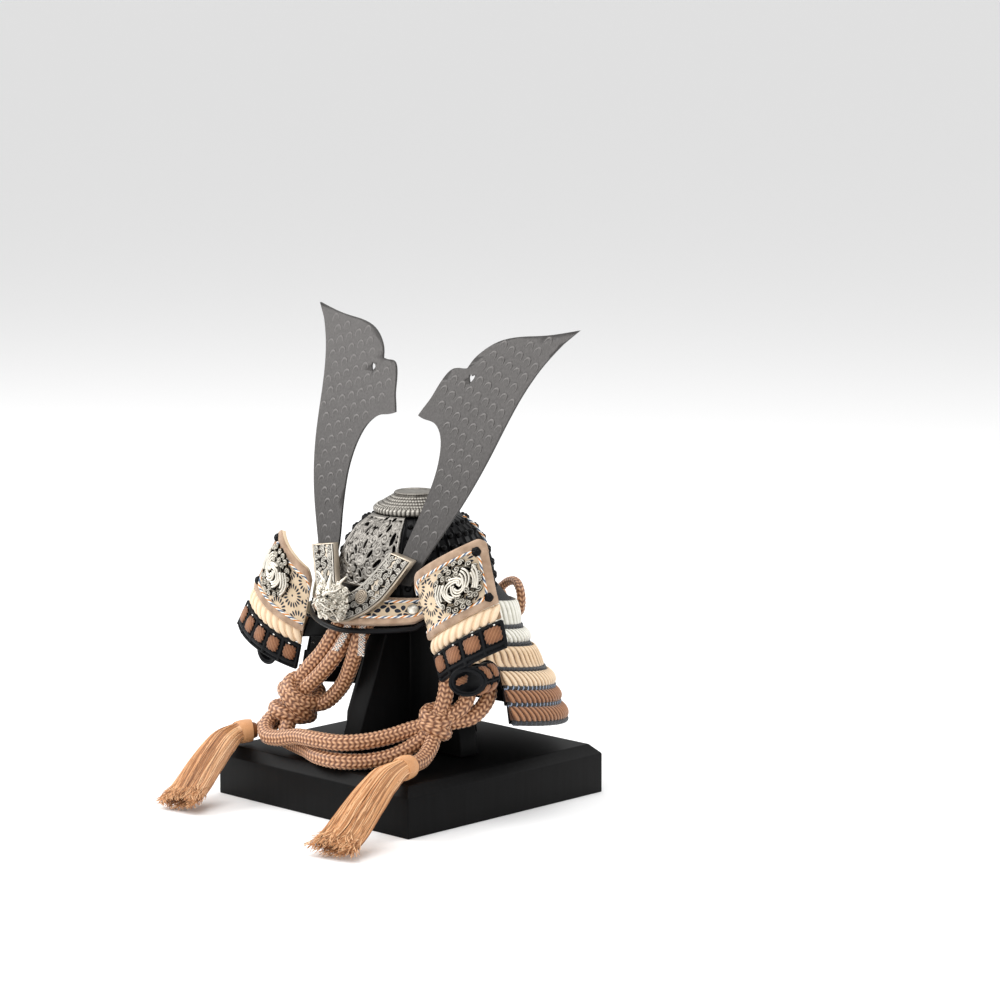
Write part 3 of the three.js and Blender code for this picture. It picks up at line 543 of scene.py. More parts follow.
# ---------------------------------------------------------------- stock: meshes as arrays
@dataclass
class Stock:
    """Points in millimetres and faces, gathered until they become one piece."""

    points: list[np.ndarray] = field(default_factory=list)
    faces: list[list[int]] = field(default_factory=list)
    relief: list[np.ndarray] = field(default_factory=list)
    tint: list[np.ndarray] = field(default_factory=list)
    count: int = 0

    def add(
        self,
        points: np.ndarray,
        faces: Sequence[Sequence[int]],
        relief: float | np.ndarray = 1.0,
        tint: str | None = None,
    ) -> None:
        """Adds a mesh.

        Args:
            points: its points.
            faces: its faces, as point numbers.
            relief: how high or bright each point is, from 0 to 1.
            tint: a hex colour for all of it.
        """
        start = self.count
        self.points.append(points)
        self.faces.extend([[start + i for i in face] for face in faces])
        self.relief.append(np.broadcast_to(np.asarray(relief, float), (len(points),)))
        self.tint.append(np.tile(linear(tint or "ffffff"), (len(points), 1)))
        self.count += len(points)

    def tube(
        self,
        path: np.ndarray,
        radii: np.ndarray | float,
        sides: int,
        relief: float | np.ndarray = 1.0,
        tint: str | None = None,
        closed: bool = False,
    ) -> None:
        """Adds a tube along a line.

        Args:
            path: the line.
            radii: one radius, one for each ring, or one for each ring and side.
            sides: points around each ring.
            relief: how high or bright each point is, from 0 to 1.
            tint: a hex colour for all of it.
            closed: whether its end meets its start.
        """
        self.add(tube_points(path, radii, sides), tube_faces(len(path), sides, closed), relief, tint)

    def make(self) -> bpy.types.Object:
        """Returns one mesh object with all of it, in metres."""
        mesh = bpy.data.meshes.new("stock")
        points = np.concatenate(self.points) * MM
        mesh.from_pydata(points.tolist(), [], self.faces)
        relief = mesh.attributes.new("relief", "FLOAT", "POINT")
        relief.data.foreach_set("value", np.concatenate(self.relief))
        tint = mesh.attributes.new("tint", "FLOAT_COLOR", "POINT")
        tint.data.foreach_set("color", np.concatenate(self.tint).ravel())
        mesh.validate()
        obj = bpy.data.objects.new("stock", mesh)
        bpy.context.scene.collection.objects.link(obj)
        return obj


@dataclass(frozen=True)
class Template:
    """A small shape modelled once, to be copied many times."""

    points: np.ndarray
    faces: list[list[int]]

    @staticmethod
    def take(obj: bpy.types.Object) -> "Template":
        """Reads a modelled object into arrays, in millimetres, and removes it."""
        deselect_all()
        points = places(obj)
        faces = [list(face.vertices) for face in obj.data.polygons]
        bpy.data.objects.remove(obj)
        return Template(points, faces)

    def put(
        self, at: np.ndarray, up: np.ndarray, size: float | Triple = 1.0, turn: float = 0.0
    ) -> np.ndarray:
        """Stands a copy on a surface.

        Args:
            at: where its origin goes.
            up: where its +Z points.
            size: how much larger it is, along each of its own axes.
            turn: how far it is turned about +Z, in radians.

        Returns:
            The copy's points.
        """
        normal = np.asarray(up, float) / np.linalg.norm(up)
        guide = np.array([0.0, 0.0, 1.0]) if abs(normal[2]) < 0.9 else np.array([0.0, 1.0, 0.0])
        right = np.cross(guide, normal)
        right /= np.linalg.norm(right)
        ahead = np.cross(normal, right)
        c, s = math.cos(turn), math.sin(turn)
        frame = np.array([right * c + ahead * s, ahead * c - right * s, normal])
        return np.asarray(at) + (self.points * np.asarray(size)) @ frame


def dome(radius: float, height: float, segments: int = 14, rings: int = 8) -> Template:
    """Models a domed stud with a small skirt, standing on its origin.

    Args:
        radius: its foot.
        height: how far it stands up.
        segments: faces around it.
        rings: faces from pole to pole of the ball it is cut from.

    Returns:
        The stud.
    """
    deselect_all()
    bpy.ops.mesh.primitive_uv_sphere_add(segments=segments, ring_count=rings, radius=radius * MM)
    sphere = bpy.context.object
    edit_whole(sphere)
    bpy.ops.mesh.bisect(plane_co=(0, 0, 0), plane_no=(0, 0, 1), clear_inner=True, use_fill=True)
    bpy.ops.mesh.select_all(action="SELECT")
    bpy.ops.transform.resize(value=(1, 1, height / radius), center_override=(0, 0, 0))
    leave_edit()
    return Template.take(sphere)


def ball(radius: float, segments: int, rings: int) -> Template:
    """Models a ball round its origin."""
    deselect_all()
    bpy.ops.mesh.primitive_uv_sphere_add(segments=segments, ring_count=rings, radius=radius * MM)
    return Template.take(bpy.context.object)


# ---------------------------------------------------------------- paths and tubes
def distances(path: np.ndarray) -> np.ndarray:
    """How far along a line each of its points is."""
    return np.concatenate([[0], np.cumsum(np.linalg.norm(np.diff(path, axis=0), axis=1))])


def between(at: np.ndarray, known: np.ndarray, rows: np.ndarray) -> np.ndarray:
    """Reads rows of numbers at values between the known ones."""
    return np.stack([np.interp(at, known, rows[:, k]) for k in range(rows.shape[1])], axis=-1)


def from_table(table: Sequence[Sequence[float]], at: np.ndarray | float, column: int = 1) -> np.ndarray:
    """Reads a column of a table between its rows, by the table's first column."""
    return np.interp(at, [row[0] for row in table], [row[column] for row in table])


def polar(radius: np.ndarray | float, angle: np.ndarray) -> np.ndarray:
    """Flat places at a distance from the origin and an angle."""
    return np.stack([radius * np.cos(angle), radius * np.sin(angle)], axis=-1)


def full_turn(count: int) -> np.ndarray:
    """Evenly spaced angles of a full turn, in radians, the last one short of the first."""
    return np.arange(count) / count * 2 * math.pi


def smooth_path(route: Sequence[Sequence[float]], spacing: float) -> np.ndarray:
    """Draws a smooth line through a route's points.

    Args:
        route: the points.
        spacing: how far apart the line's own points are.

    Returns:
        The line's points, evenly spaced.
    """
    knots = np.asarray(route, float)
    ends = np.vstack([2 * knots[0] - knots[1], knots, 2 * knots[-1] - knots[-2]])
    drawn = []
    for i in range(1, len(ends) - 2):
        p0, p1, p2, p3 = ends[i - 1 : i + 3]
        d1 = np.linalg.norm(p1 - p0) ** 0.5
        d2 = np.linalg.norm(p2 - p1) ** 0.5
        d3 = np.linalg.norm(p3 - p2) ** 0.5
        m1 = d2 * ((p1 - p0) / d1 - (p2 - p0) / (d1 + d2) + (p2 - p1) / d2)
        m2 = d2 * ((p2 - p1) / d2 - (p3 - p1) / (d2 + d3) + (p3 - p2) / d3)
        t = np.linspace(0, 1, 24, endpoint=False)[:, None]
        leave = (2 * t**3 - 3 * t**2 + 1) * p1 + (t**3 - 2 * t**2 + t) * m1
        drawn.append(leave + (3 * t**2 - 2 * t**3) * p2 + (t**3 - t**2) * m2)
    line = np.vstack([*drawn, knots[-1:]])
    along = distances(line)
    count = max(int(round(along[-1] / spacing)), 2)
    return between(np.linspace(0, along[-1], count + 1), along, line)


def path_length(path: np.ndarray) -> float:
    """Length of a line."""
    return float(np.linalg.norm(np.diff(path, axis=0), axis=1).sum())


def path_frames(path: np.ndarray) -> tuple[np.ndarray, np.ndarray]:
    """Carries a pair of side directions along a line without twist, the first one level at its start.

    Args:
        path: the line's points.

    Returns:
        The two side directions at each point.
    """
    ahead = np.gradient(path, axis=0)
    ahead /= np.linalg.norm(ahead, axis=1, keepdims=True)
    side = np.cross(ahead[0], np.array([0.0, 0.0, 1.0]))
    if np.linalg.norm(side) < 1e-3:
        side = np.cross(ahead[0], np.array([1.0, 0.3, 0.0]))
    sides = []
    for direction in ahead:
        side = side - direction * side.dot(direction)
        side /= np.linalg.norm(side)
        sides.append(side.copy())
    sides = np.array(sides)
    return sides, np.cross(sides, ahead)


def tube_faces(rings: int, sides: int, closed: bool = False) -> list[list[int]]:
    """Faces of a tube of rings.

    Args:
        rings: how many rings it has.
        sides: points around each ring.
        closed: whether its end meets its start. If not, it gets flat caps.

    Returns:
        The faces, as point numbers.
    """
    faces = []
    for i in range(rings if closed else rings - 1):
        here, there = i * sides, ((i + 1) % rings) * sides
        for j in range(sides):
            k = (j + 1) % sides
            faces.append([here + j, here + k, there + k, there + j])
    if not closed:
        faces.append(list(range(sides - 1, -1, -1)))
        faces.append([(rings - 1) * sides + j for j in range(sides)])
    return faces


def tube_points(path: np.ndarray, radii: np.ndarray | float, sides: int) -> np.ndarray:
    """Points of a tube around a line.

    Args:
        path: the line.
        radii: one radius, one for each ring, or one for each ring and side.
        sides: points around each ring.

    Returns:
        The points, ring after ring.
    """
    side, rise = path_frames(path)
    angle = full_turn(sides)
    radii = np.asarray(radii, float)
    spread = np.broadcast_to(radii[:, None] if radii.ndim == 1 else radii, (len(path), sides))
    ring = side[:, None] * np.cos(angle)[None, :, None] + rise[:, None] * np.sin(angle)[None, :, None]
    return (path[:, None] + ring * spread[:, :, None]).reshape(-1, 3)


def tapered(count: int, radius: float, blunt: float = 0.35) -> np.ndarray:
    """Radii that round off at both ends of a bar."""
    t = np.linspace(0, 1, count)
    rise = np.clip(np.minimum(t, 1 - t) / 0.12, 0, 1)
    return radius * (blunt + (1 - blunt) * np.sqrt(1 - (1 - rise) ** 2))


def curl(
    x: float, y: float, radius: float, start: float, turns: float, hand: int, count: int = 22
) -> np.ndarray:
    """A flat scroll that closes in on itself.

    Args:
        x: its centre across.
        y: its centre up.
        radius: its outermost reach.
        start: the angle where it starts, in radians.
        turns: how many turns it makes.
        hand: 1 turns left and -1 right.
        count: how many points it has.

    Returns:
        Its points, two numbers each.
    """
    t = np.linspace(0, 1, count)
    reach = radius * (1 - 0.82 * t**0.9)
    angle = start + hand * turns * 2 * math.pi * t
    return np.stack([x + reach * np.cos(angle), y + reach * np.sin(angle)], axis=1)


def grid(across: int, along: int) -> tuple[np.ndarray, np.ndarray, list[list[int]]]:
    """Adds a flat grid of faces and reads it.

    Args:
        across: faces across.
        along: faces along.

    Returns:
        How far each point is across and along, from 0 to 1, and the faces.
    """
    deselect_all()
    bpy.ops.mesh.primitive_grid_add(x_subdivisions=across, y_subdivisions=along, size=2)
    flat = Template.take(bpy.context.object)
    places = flat.points * MM / 2 + 0.5
    return places[:, 0], places[:, 1], flat.faces


def bent_sheet(
    across: int, along: int, surface: Surface, thickness: float, rounding: float = 0.0
) -> bpy.types.Object:
    """Bends a flat grid onto a surface and gives it a thickness behind that surface.

    Args:
        across: faces across.
        along: faces along.
        surface: takes across, along (0 to 1) and a height off the surface, and gives points.
        thickness: how thick the sheet is.
        rounding: how much its edges are rounded.

    Returns:
        The sheet.
    """
    u, v, faces = grid(across, along)
    stock = Stock()
    stock.add(surface(u, v, np.zeros_like(u)), faces)
    sheet = stock.make()
    face_outwards(sheet, surface(np.array([0.5]), np.array([0.5]), np.array([5.0]))[0])
    modifier(sheet, "SOLIDIFY", thickness=thickness * MM, offset=-1.0, use_even_offset=True)
    if rounding:
        bevel(sheet, rounding, 2, 60)
    return sheet


def with_walls(stock: Stock, points: np.ndarray, behind: np.ndarray, faces: list, relief: np.ndarray) -> None:
    """Adds a sheet with walls that go back from each of its open edges, holes included.

    Args:
        stock: where it goes.
        points: its points.
        behind: the place behind each point where a wall would end.
        faces: its faces, as point numbers.
        relief: how bright each point is.
    """
    edges = [(a, b) for face in faces for a, b in zip(face, face[1:] + face[:1])]
    count = Counter((min(edge), max(edge)) for edge in edges)
    rim = [edge for edge in edges if count[(min(edge), max(edge))] == 1]
    used = {a: i for i, a in enumerate(sorted({a for edge in rim for a in edge}))}
    order = sorted(used)
    walls = [[b, a, len(points) + used[a], len(points) + used[b]] for a, b in rim]
    bright = np.concatenate([relief, np.full(len(order), 0.1)])
    stock.add(np.vstack([points, behind[order]]), faces + walls, bright)


def face_outwards(sheet: bpy.types.Object, outside: np.ndarray) -> None:
    """Turns an open sheet's faces towards a place outside it."""
    middle = min(sheet.data.polygons, key=lambda face: (face.center / MM - Vector(outside)).length)
    if middle.normal.dot(Vector(outside) * MM - middle.center) < 0:
        edit_whole(sheet)
        bpy.ops.mesh.flip_normals()
        leave_edit()


# ---------------------------------------------------------------- shared measures of the helmet
AXIS_Y = 4.0
BOWL_SIDE = ((104, 40.4), (115, 39.7), (125, 37.7), (134, 33.8), (141, 28.6), (147, 20.2), (150.6, 6))


def around(azimuth: np.ndarray, radius: np.ndarray | float, z: np.ndarray | float) -> np.ndarray:
    """Points round the upright axis of the bowl.

    Args:
        azimuth: angle from +X, in radians.
        radius: distance from the axis.
        z: height.

    Returns:
        The points.
    """
    azimuth = np.asarray(azimuth, float)
    z = np.broadcast_to(z, azimuth.shape)
    return np.stack([radius * np.cos(azimuth), AXIS_Y + radius * np.sin(azimuth), z], axis=-1)


def bowl_radius(z: np.ndarray | float) -> np.ndarray:
    """Outer radius of the bowl at a height."""
    return from_table(BOWL_SIDE, z)


def distance_to(points: np.ndarray, lines: Sequence[np.ndarray]) -> np.ndarray:
    """How far each flat place is from the nearest of some lines.

    Args:
        points: flat places.
        lines: bent lines, each a row of flat places.

    Returns:
        One distance for each place.
    """
    best = np.full(len(points), 1e9)
    for line in lines:
        low, high = line.min(axis=0) - 3, line.max(axis=0) + 3
        near = np.all((points > low) & (points < high), axis=1)
        if not near.any():
            continue
        here = points[near][:, None]
        start, step = line[:-1][None], np.diff(line, axis=0)[None]
        t = ((here - start) * step).sum(axis=2) / np.maximum((step**2).sum(axis=2), 1e-9)
        gap = np.linalg.norm(here - start - np.clip(t, 0, 1)[..., None] * step, axis=2).min(axis=1)
        best[near] = np.minimum(best[near], gap)
    return best


def rounded(distance: np.ndarray, width: float) -> np.ndarray:
    """Height of a half-round bead of a half width, from 1 on its line to 0 beside it."""
    return np.sqrt(np.clip(1 - (distance / width) ** 2, 0, 1))


# ---------------------------------------------------------------- camera and studio
@dataclass
class Studio:
    """The camera, a pale floor, and soft light from the left, from the front, from above and from behind."""

    place: Triple = (1340.9, -1302.0, 454.9)
    azimuth: float = 44.43
    pitch: float = 9.17
    lens: float = 133.2
    sensor: float = 36.0
    floor_half: float = 40000.0
    floor_drop: float = 0.05
    aim: Triple = (0, 0, 110)
    air: float = 0.78
    lamps: tuple = (
        ("key_light", (-1000, -650, 1000), (1000, 1000), 15),
        ("fill_light", (400, -1300, 600), (600, 600), 3.5),
        ("top_light", (100, 0, 1300), (900, 900), 8),
        ("back_light", (500, 1300, 700), (700, 400), 3),
    )

    def make(self) -> None:
        """Makes the camera, the lights and the floor."""
        self.camera()
        self.floor()
        for name, place, size, watts in self.lamps:
            self.soft_box(name, place, size, watts)
        world = bpy.data.worlds.new("studio_air")
        bpy.context.scene.world = world
        world.use_nodes = True
        sky = world.node_tree.nodes["Background"]
        sky.inputs["Color"].default_value = linear("ffffff")
        sky.inputs["Strength"].default_value = self.air
        bpy.context.scene.view_settings.view_transform = "Standard"

    def camera(self) -> None:
        """Puts the camera where the picture was taken from."""
        turn, pitch = math.radians(self.azimuth), math.radians(self.pitch)
        level = math.cos(pitch)
        ahead = Vector((-math.sin(turn) * level, math.cos(turn) * level, -math.sin(pitch)))
        facing = ahead.to_track_quat("-Z", "Y").to_euler()
        deselect_all()
        bpy.ops.object.camera_add(location=Vector(self.place) * MM, rotation=facing)
        camera = bpy.context.object
        camera.name = "picture_camera"
        camera.data.lens = self.lens
        camera.data.sensor_width = self.sensor
        camera.data.clip_end = 120
        bpy.context.scene.camera = camera

    def floor(self) -> None:
        """Lays the floor, a wide plain plane just under the stand."""
        deselect_all()
        under = (0, 0, -self.floor_drop * MM)
        bpy.ops.mesh.primitive_plane_add(size=2 * self.floor_half * MM, location=under)
        floor = bpy.context.object
        floor.name = "floor"
        tree = Tree("pale_matt_paper")
        tree.surface(Base_Color=linear("fafafa"), Roughness=0.9)
        floor.data.materials.append(tree.material)
        floor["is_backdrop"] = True

    def soft_box(self, name: str, place: Triple, size: tuple[float, float], watts: float) -> None:
        """Hangs a soft box that faces the helmet.

        Args:
            name: its name.
            place: where it hangs.
            size: its width and height.
            watts: its power.
        """
        facing = (Vector(self.aim) - Vector(place)).to_track_quat("-Z", "Y").to_euler()
        deselect_all()
        bpy.ops.object.light_add(type="AREA", location=Vector(place) * MM, rotation=facing)
        lamp = bpy.context.object
        lamp.name = name
        lamp.data.shape = "RECTANGLE"
        lamp.data.size = size[0] * MM
        lamp.data.size_y = size[1] * MM
        lamp.data.energy = watts


# ---------------------------------------------------------------- cords
@dataclass
class Braid:
    """A round cord braided in columns of slanting stitches, which meet in a herringbone."""

    radius: float = 4.2
    columns: int = 12
    stitch: float = 2.5
    depth: float = 0.6
    slant: float = 0.62
    per_column: int = 4
    spacing: float = 0.5
    end_rings: int = 5

    def add_to(self, stock: Stock, path: np.ndarray, closed: bool = False) -> None:
        """Adds a length of the cord to a stock.

        Args:
            stock: where it goes.
            path: evenly spaced points of its middle line.
            closed: whether its end meets its start.
        """
        sides = self.columns * self.per_column
        if closed:
            path = path[:-1]
        place = (np.arange(sides)[None] + 0.5) / self.per_column
        column = np.floor(place)
        x = place - column
        hand = np.where(column % 2 == 0, 1.0, -1.0)
        along = distances(path)[:, None]
        pitch = self.stitch
        if closed:
            whole = along[-1, 0] + np.linalg.norm(path[-1] - path[0])
            pitch = whole / round(whole / self.stitch)
        phase = along / pitch + hand * self.slant * (x - 0.5)
        plait = np.abs(np.sin(math.pi * phase)) ** 0.6 * (1 - 0.7 * np.abs(2 * x - 1) ** 2.5)
        radii = self.radius - self.depth * (1 - plait)
        if not closed:
            ends = np.minimum(np.arange(len(path)), np.arange(len(path))[::-1])[:, None]
            radii = radii * np.sqrt(np.clip(0.2 + ends / self.end_rings, 0, 1))
        # The stitch profile also sets the colour: painted shade in the grooves between stitches and a painted
        # highlight on their crests.
        stock.tube(path, radii, sides, plait.ravel(), closed=closed)

    def ring(self, at: Sequence[float], radius: float, turn: Triple) -> np.ndarray:
        """Middle line of a loop of the cord.

        Args:
            at: the loop's centre.
            radius: its radius.
            turn: how it is turned, in radians about each axis.

        Returns:
            Its points, the last on the first.
        """
        count = int(2 * math.pi * radius / self.spacing)
        angle = np.linspace(0, 2 * math.pi, count + 1)
        flat = np.stack([radius * np.cos(angle), radius * np.sin(angle), 0 * angle], axis=1)
        about_x, about_y, about_z = (Matrix.Rotation(angle, 3, axis) for angle, axis in zip(turn, "XYZ"))
        return np.asarray(at) + flat @ np.array(about_x @ about_y @ about_z).T


@dataclass
class Knot:
    """A knot in the chin cord: loops of the cord round a core.

    Each loop is its place along the knot, its radius, and how it is turned in radians about each axis.
    """

    name: str
    at: Triple
    along: Triple
    loops: tuple[tuple[float, float, Triple], ...]
    core: float


@dataclass
class ChinCord:
    """The chin cord of brown silk: runs from under the visor to a knot at each side, and across the slab."""

    braid: Braid = field(default_factory=Braid)
    left_runs: tuple = (
        ((-9, -26, 100), (-11, -34, 86), (-16, -39.5, 74), (-24, -42, 64.5), (-31, -43.5, 58),
         (-35, -44, 54)),
        ((-18.5, -24, 100), (-20, -34, 87), (-25.5, -38, 76), (-33, -41, 67), (-37.5, -43, 60),
         (-38, -44, 54)),
        ((0, -27.5, 97), (-1.5, -34.6, 86), (-6.5, -35.5, 72), (-14, -35.5, 59.5), (-24, -38, 50),
         (-32, -41, 48)),
    )
    right_runs: tuple = (
        ((36, -17, 100), (44, -19, 88), (48.5, -21.5, 76), (50.5, -24, 66), (50, -26, 58), (48.5, -28, 52)),
        ((30, -9, 100), (40, -10, 88), (50, -11.5, 76), (57, -14.5, 66), (57, -19, 57), (51, -26, 51)),
        ((36, 13, 100), (43.5, 9, 88), (52, 3.5, 72), (60, -4, 60), (58.5, -13, 51.5), (51, -24, 48.5)),
    )
    front_runs: tuple = (
        (
            (-42, -46.5, 47), (-46, -51, 43), (-46.5, -58.5, 37.5), (-40, -63.5, 34), (-28, -65.5, 34.8),
            (-14, -66, 38), (2, -67.5, 39), (16, -64.5, 39.2), (25, -56, 40), (32, -46, 42), (38, -37, 45),
            (44, -31, 47.5),
        ),
        (
            (-37, -49, 43.5), (-35.5, -54.5, 36), (-32, -56.5, 31.6), (-26, -56.5, 30.2), (-14, -60, 30.1),
            (2, -66.3, 30.1), (16, -65.5, 30.1), (27, -57, 30.3), (36, -47, 33), (42.5, -37, 39),
            (46, -31, 45),
        ),
    )
    tassel_runs: tuple = (
        ((-42, -44, 47), (-47, -44.5, 42.5), (-51.5, -47.5, 37), (-54.5, -51.5, 34.2), (-57.2, -55.6, 33)),
        ((48.5, -30, 46), (51, -35.5, 38.5), (54.2, -44.5, 33.6), (57, -55, 32.7)),
    )
    knots: tuple = (
        Knot(
            "knot_left", (-38, -44, 49.5), (0.5, 0.2, 0.84),
            (
                (6.4, 8.2, (0.3, 0.2, 0)), (-0.6, 9.4, (-0.35, 0.1, 0)), (-7.0, 8.2, (0.1, -0.35, 0)),
                (0, 6.2, (1.5, 0.2, 0.4)),
            ),
            7.4,
        ),
        Knot(
            "knot_right", (47.5, -28.6, 49), (0.1, 0.1, 0.99),
            ((3.2, 5.0, (0.3, 0.3, 0)), (-3.2, 5.2, (-0.35, 0.1, 0)), (0, 4.2, (1.5, 0.3, 0.2))),
            4.6,
        ),
    )

    def make(self, finishes: Finishes, tassels: Sequence[bpy.types.Object]) -> None:
        """Args:
            finishes: the finishes.
            tassels: the left and the right tassel; not used.
        """
        knots = [self.knot(knot, finishes) for knot in self.knots]
        runs = enumerate(self.tassel_runs)
        short = [self.run(f"tassel_cord_{i + 1}", route, finishes) for i, route in runs]
        for side, runs in (("left", self.left_runs), ("right", self.right_runs)):
            for i, route in enumerate(runs):
                self.declare(f"cord_{side}_{i + 1}", route, finishes)
        for i, name in enumerate(("cord_front_upper", "cord_front_lower")):
            self.declare(name, self.front_runs[i], finishes)

    def run(self, name: str, route: tuple, finishes: Finishes) -> tuple[bpy.types.Object, np.ndarray]:
        """Makes one run, and returns it with its middle line."""
        path = smooth_path(route, self.braid.spacing)
        stock = Stock()
        self.braid.add_to(stock, path)
        piece = dress(stock.make(), name, finishes.cord_silk, ["chin_cord"])
        return piece, path

    def declare(self, name: str, route: tuple, finishes: Finishes) -> None:
        """Args:
            name: its name.
            route: its points.
            finishes: the finishes.
        """
        piece, path = self.run(name, route, finishes)

    def knot(self, knot: Knot, finishes: Finishes) -> bpy.types.Object:
        """Makes one knot as a single piece: loops of braid round a padded core."""
        stock = Stock()
        axis = Vector(knot.along).normalized()
        lean = np.array(Vector((0, 0, 1)).rotation_difference(axis).to_matrix())
        for offset, radius, turn in knot.loops:
            loop = self.braid.ring((0, 0, offset), radius, turn) @ lean.T
            self.braid.add_to(stock, loop + np.array(knot.at), closed=True)
        core = ball(knot.core, 32, 20)
        # The core is given a low relief, which paints it dark: painted shade in the middle of the knot.
        stock.add(core.points + np.array(knot.at), core.faces, 0.25)
        return dress(stock.make(), knot.name, finishes.cord_silk, ["chin_cord"])


@dataclass
class Tassel:
    """A silk tassel: a bound head, a core that fills it, painted dark as the shade among the threads, and
    hundreds of fine threads with curled ends.

    Each row of the form is a share of its length, half its width there and half its thickness.
    """

    name: str
    route: tuple
    seed: int
    threads: int = 720
    thread_radius: float = 0.25
    form: tuple = (
        (0, 4.6, 4.6), (0.04, 5.8, 5.8), (0.13, 5.8, 5.8), (0.17, 5.0, 5.0),
        (0.3, 8.4, 6.4), (0.5, 10.2, 6.2), (0.75, 11.6, 5.2), (1, 12.6, 3.4),
    )
    core_sides: int = 24
    core_share: float = 0.9
    core_fill: tuple[float, float] = (0.86, 0.8)
    bound: tuple[float, float] = (0.035, 0.15)
    bind_turns: int = 12
    bind_radius: float = 5.35
    bind_bulge: float = 0.5
    bind_overlap: float = 1.1
    loose_from: float = 0.13
    locks: int = 9
    lock_pull: float = 0.3
    tip: float = 0.09
    floor_gap: float = 0.4

    def make(self, finishes: Finishes) -> bpy.types.Object:
        """Returns the tassel as one piece."""
        path = smooth_path(self.route, 0.8)
        t = np.linspace(0, 1, len(path))
        sizes = np.stack([from_table(self.form, t, column) for column in (1, 2)], axis=1)
        frame = np.hstack([path, *path_frames(path), sizes])
        stock = Stock()
        self.core(stock, frame)
        self.head(stock, frame)
        self.skirt(stock, frame)
        return dress(stock.make(), self.name, finishes.tassel_silk, [self.name], 60)

    def core(self, stock: Stock, frame: np.ndarray) -> None:
        """Adds the core under the threads, painted dark as the shade in the gaps between them.

        Args:
            stock: where it goes.
            frame: a row for each point of the middle line: its place, two side directions and two half sizes.
        """
        stop = int(len(frame) * self.core_share)
        angle = full_turn(self.core_sides)
        wide, thick = frame[:stop, 9:10] * self.core_fill[0], frame[:stop, 10:11] * self.core_fill[1]
        across, up = frame[:stop, None, 3:6], frame[:stop, None, 6:9]
        ring = across * (wide * np.cos(angle))[..., None] + up * (thick * np.sin(angle))[..., None]
        points = (frame[:stop, None, 0:3] + ring).reshape(-1, 3)
        # 0.05 takes the darkest end of the silk's ramp: painted shade.
        stock.add(points, tube_faces(stop, self.core_sides), 0.05)

    def head(self, stock: Stock, frame: np.ndarray) -> None:
        """Adds the turns of thread that bind the head; the frame is the core's."""
        t = np.linspace(*self.bound, self.bind_turns * 26)
        here = between(t, np.linspace(0, 1, len(frame)), frame)
        angle = np.linspace(0, self.bind_turns * 2 * math.pi, len(t))[:, None]
        swell = np.sin(np.linspace(0, math.pi, len(t)))[:, None] ** 0.5
        reach = self.bind_radius + self.bind_bulge * swell
        wound = here[:, 0:3] + reach * (here[:, 3:6] * np.cos(angle) + here[:, 6:9] * np.sin(angle))
        share = self.bound[1] - self.bound[0]
        radius = path_length(frame[:, 0:3]) * share / self.bind_turns / 2 * self.bind_overlap
        stock.tube(wound, radius, 8, 0.55)

    def skirt(self, stock: Stock, frame: np.ndarray) -> None:
        """Adds the loose threads, in locks, with curled ends; the frame is the core's."""
        dice = random.Random(self.seed)
        at = np.linspace(0, 1, len(frame))
        for _ in range(self.threads):
            turn = dice.uniform(0, 2 * math.pi)
            lock = round(turn * self.locks / (2 * math.pi)) * 2 * math.pi / self.locks
            depth = dice.uniform(0.82, 1.0)
            end = dice.uniform(0.88, 1.0)
            t = np.linspace(self.loose_from, end, 25)
            gather = np.clip((t - self.loose_from) / (1 - self.loose_from), 0, 1)
            drift = dice.uniform(-0.22, 0.22) * gather
            wave = dice.uniform(0.02, 0.07) * np.sin(t * dice.uniform(14, 26) + dice.uniform(0, 6.3)) * gather
            tip = np.clip((t - end + self.tip) / self.tip, 0, 1) ** 2
            angle = turn + (lock - turn) * self.lock_pull * gather + drift + wave
            angle = angle + tip * dice.uniform(-0.3, 0.3)
            lift = depth + dice.uniform(-0.06, 0.12) * gather - tip * dice.uniform(-0.3, 0.45)
            here = between(t, at, frame)
            across = (here[:, 9] * lift * np.cos(angle))[:, None]
            up = (here[:, 10] * lift * np.sin(angle))[:, None]
            line = here[:, 0:3] + across * here[:, 3:6] + up * here[:, 6:9]
            line[:, 2] = np.maximum(line[:, 2], self.floor_gap)
            radii = self.thread_radius * np.clip(1.15 - 0.5 * gather**3, 0.3, 2)
            stock.tube(line, radii, 4, dice.uniform(0.1, 1.0))


# ---------------------------------------------------------------- stand
@dataclass
class Stand:
    """The square slab and the two crossed boards that carry the helmet."""

    slab_edge: float = 0.5
    board_edge: float = 0.8

    def make(self, finishes: Finishes) -> None:
        """Dresses soft-edged copies of the two solids."""
        for node, edge in (("stand_base", self.slab_edge), ("stand_post", self.board_edge)):
            copy = cad_copy(node)
            bevel(copy, edge, 3, 25)
            dress(copy, node + "_wood", finishes.wood, [node], 40)


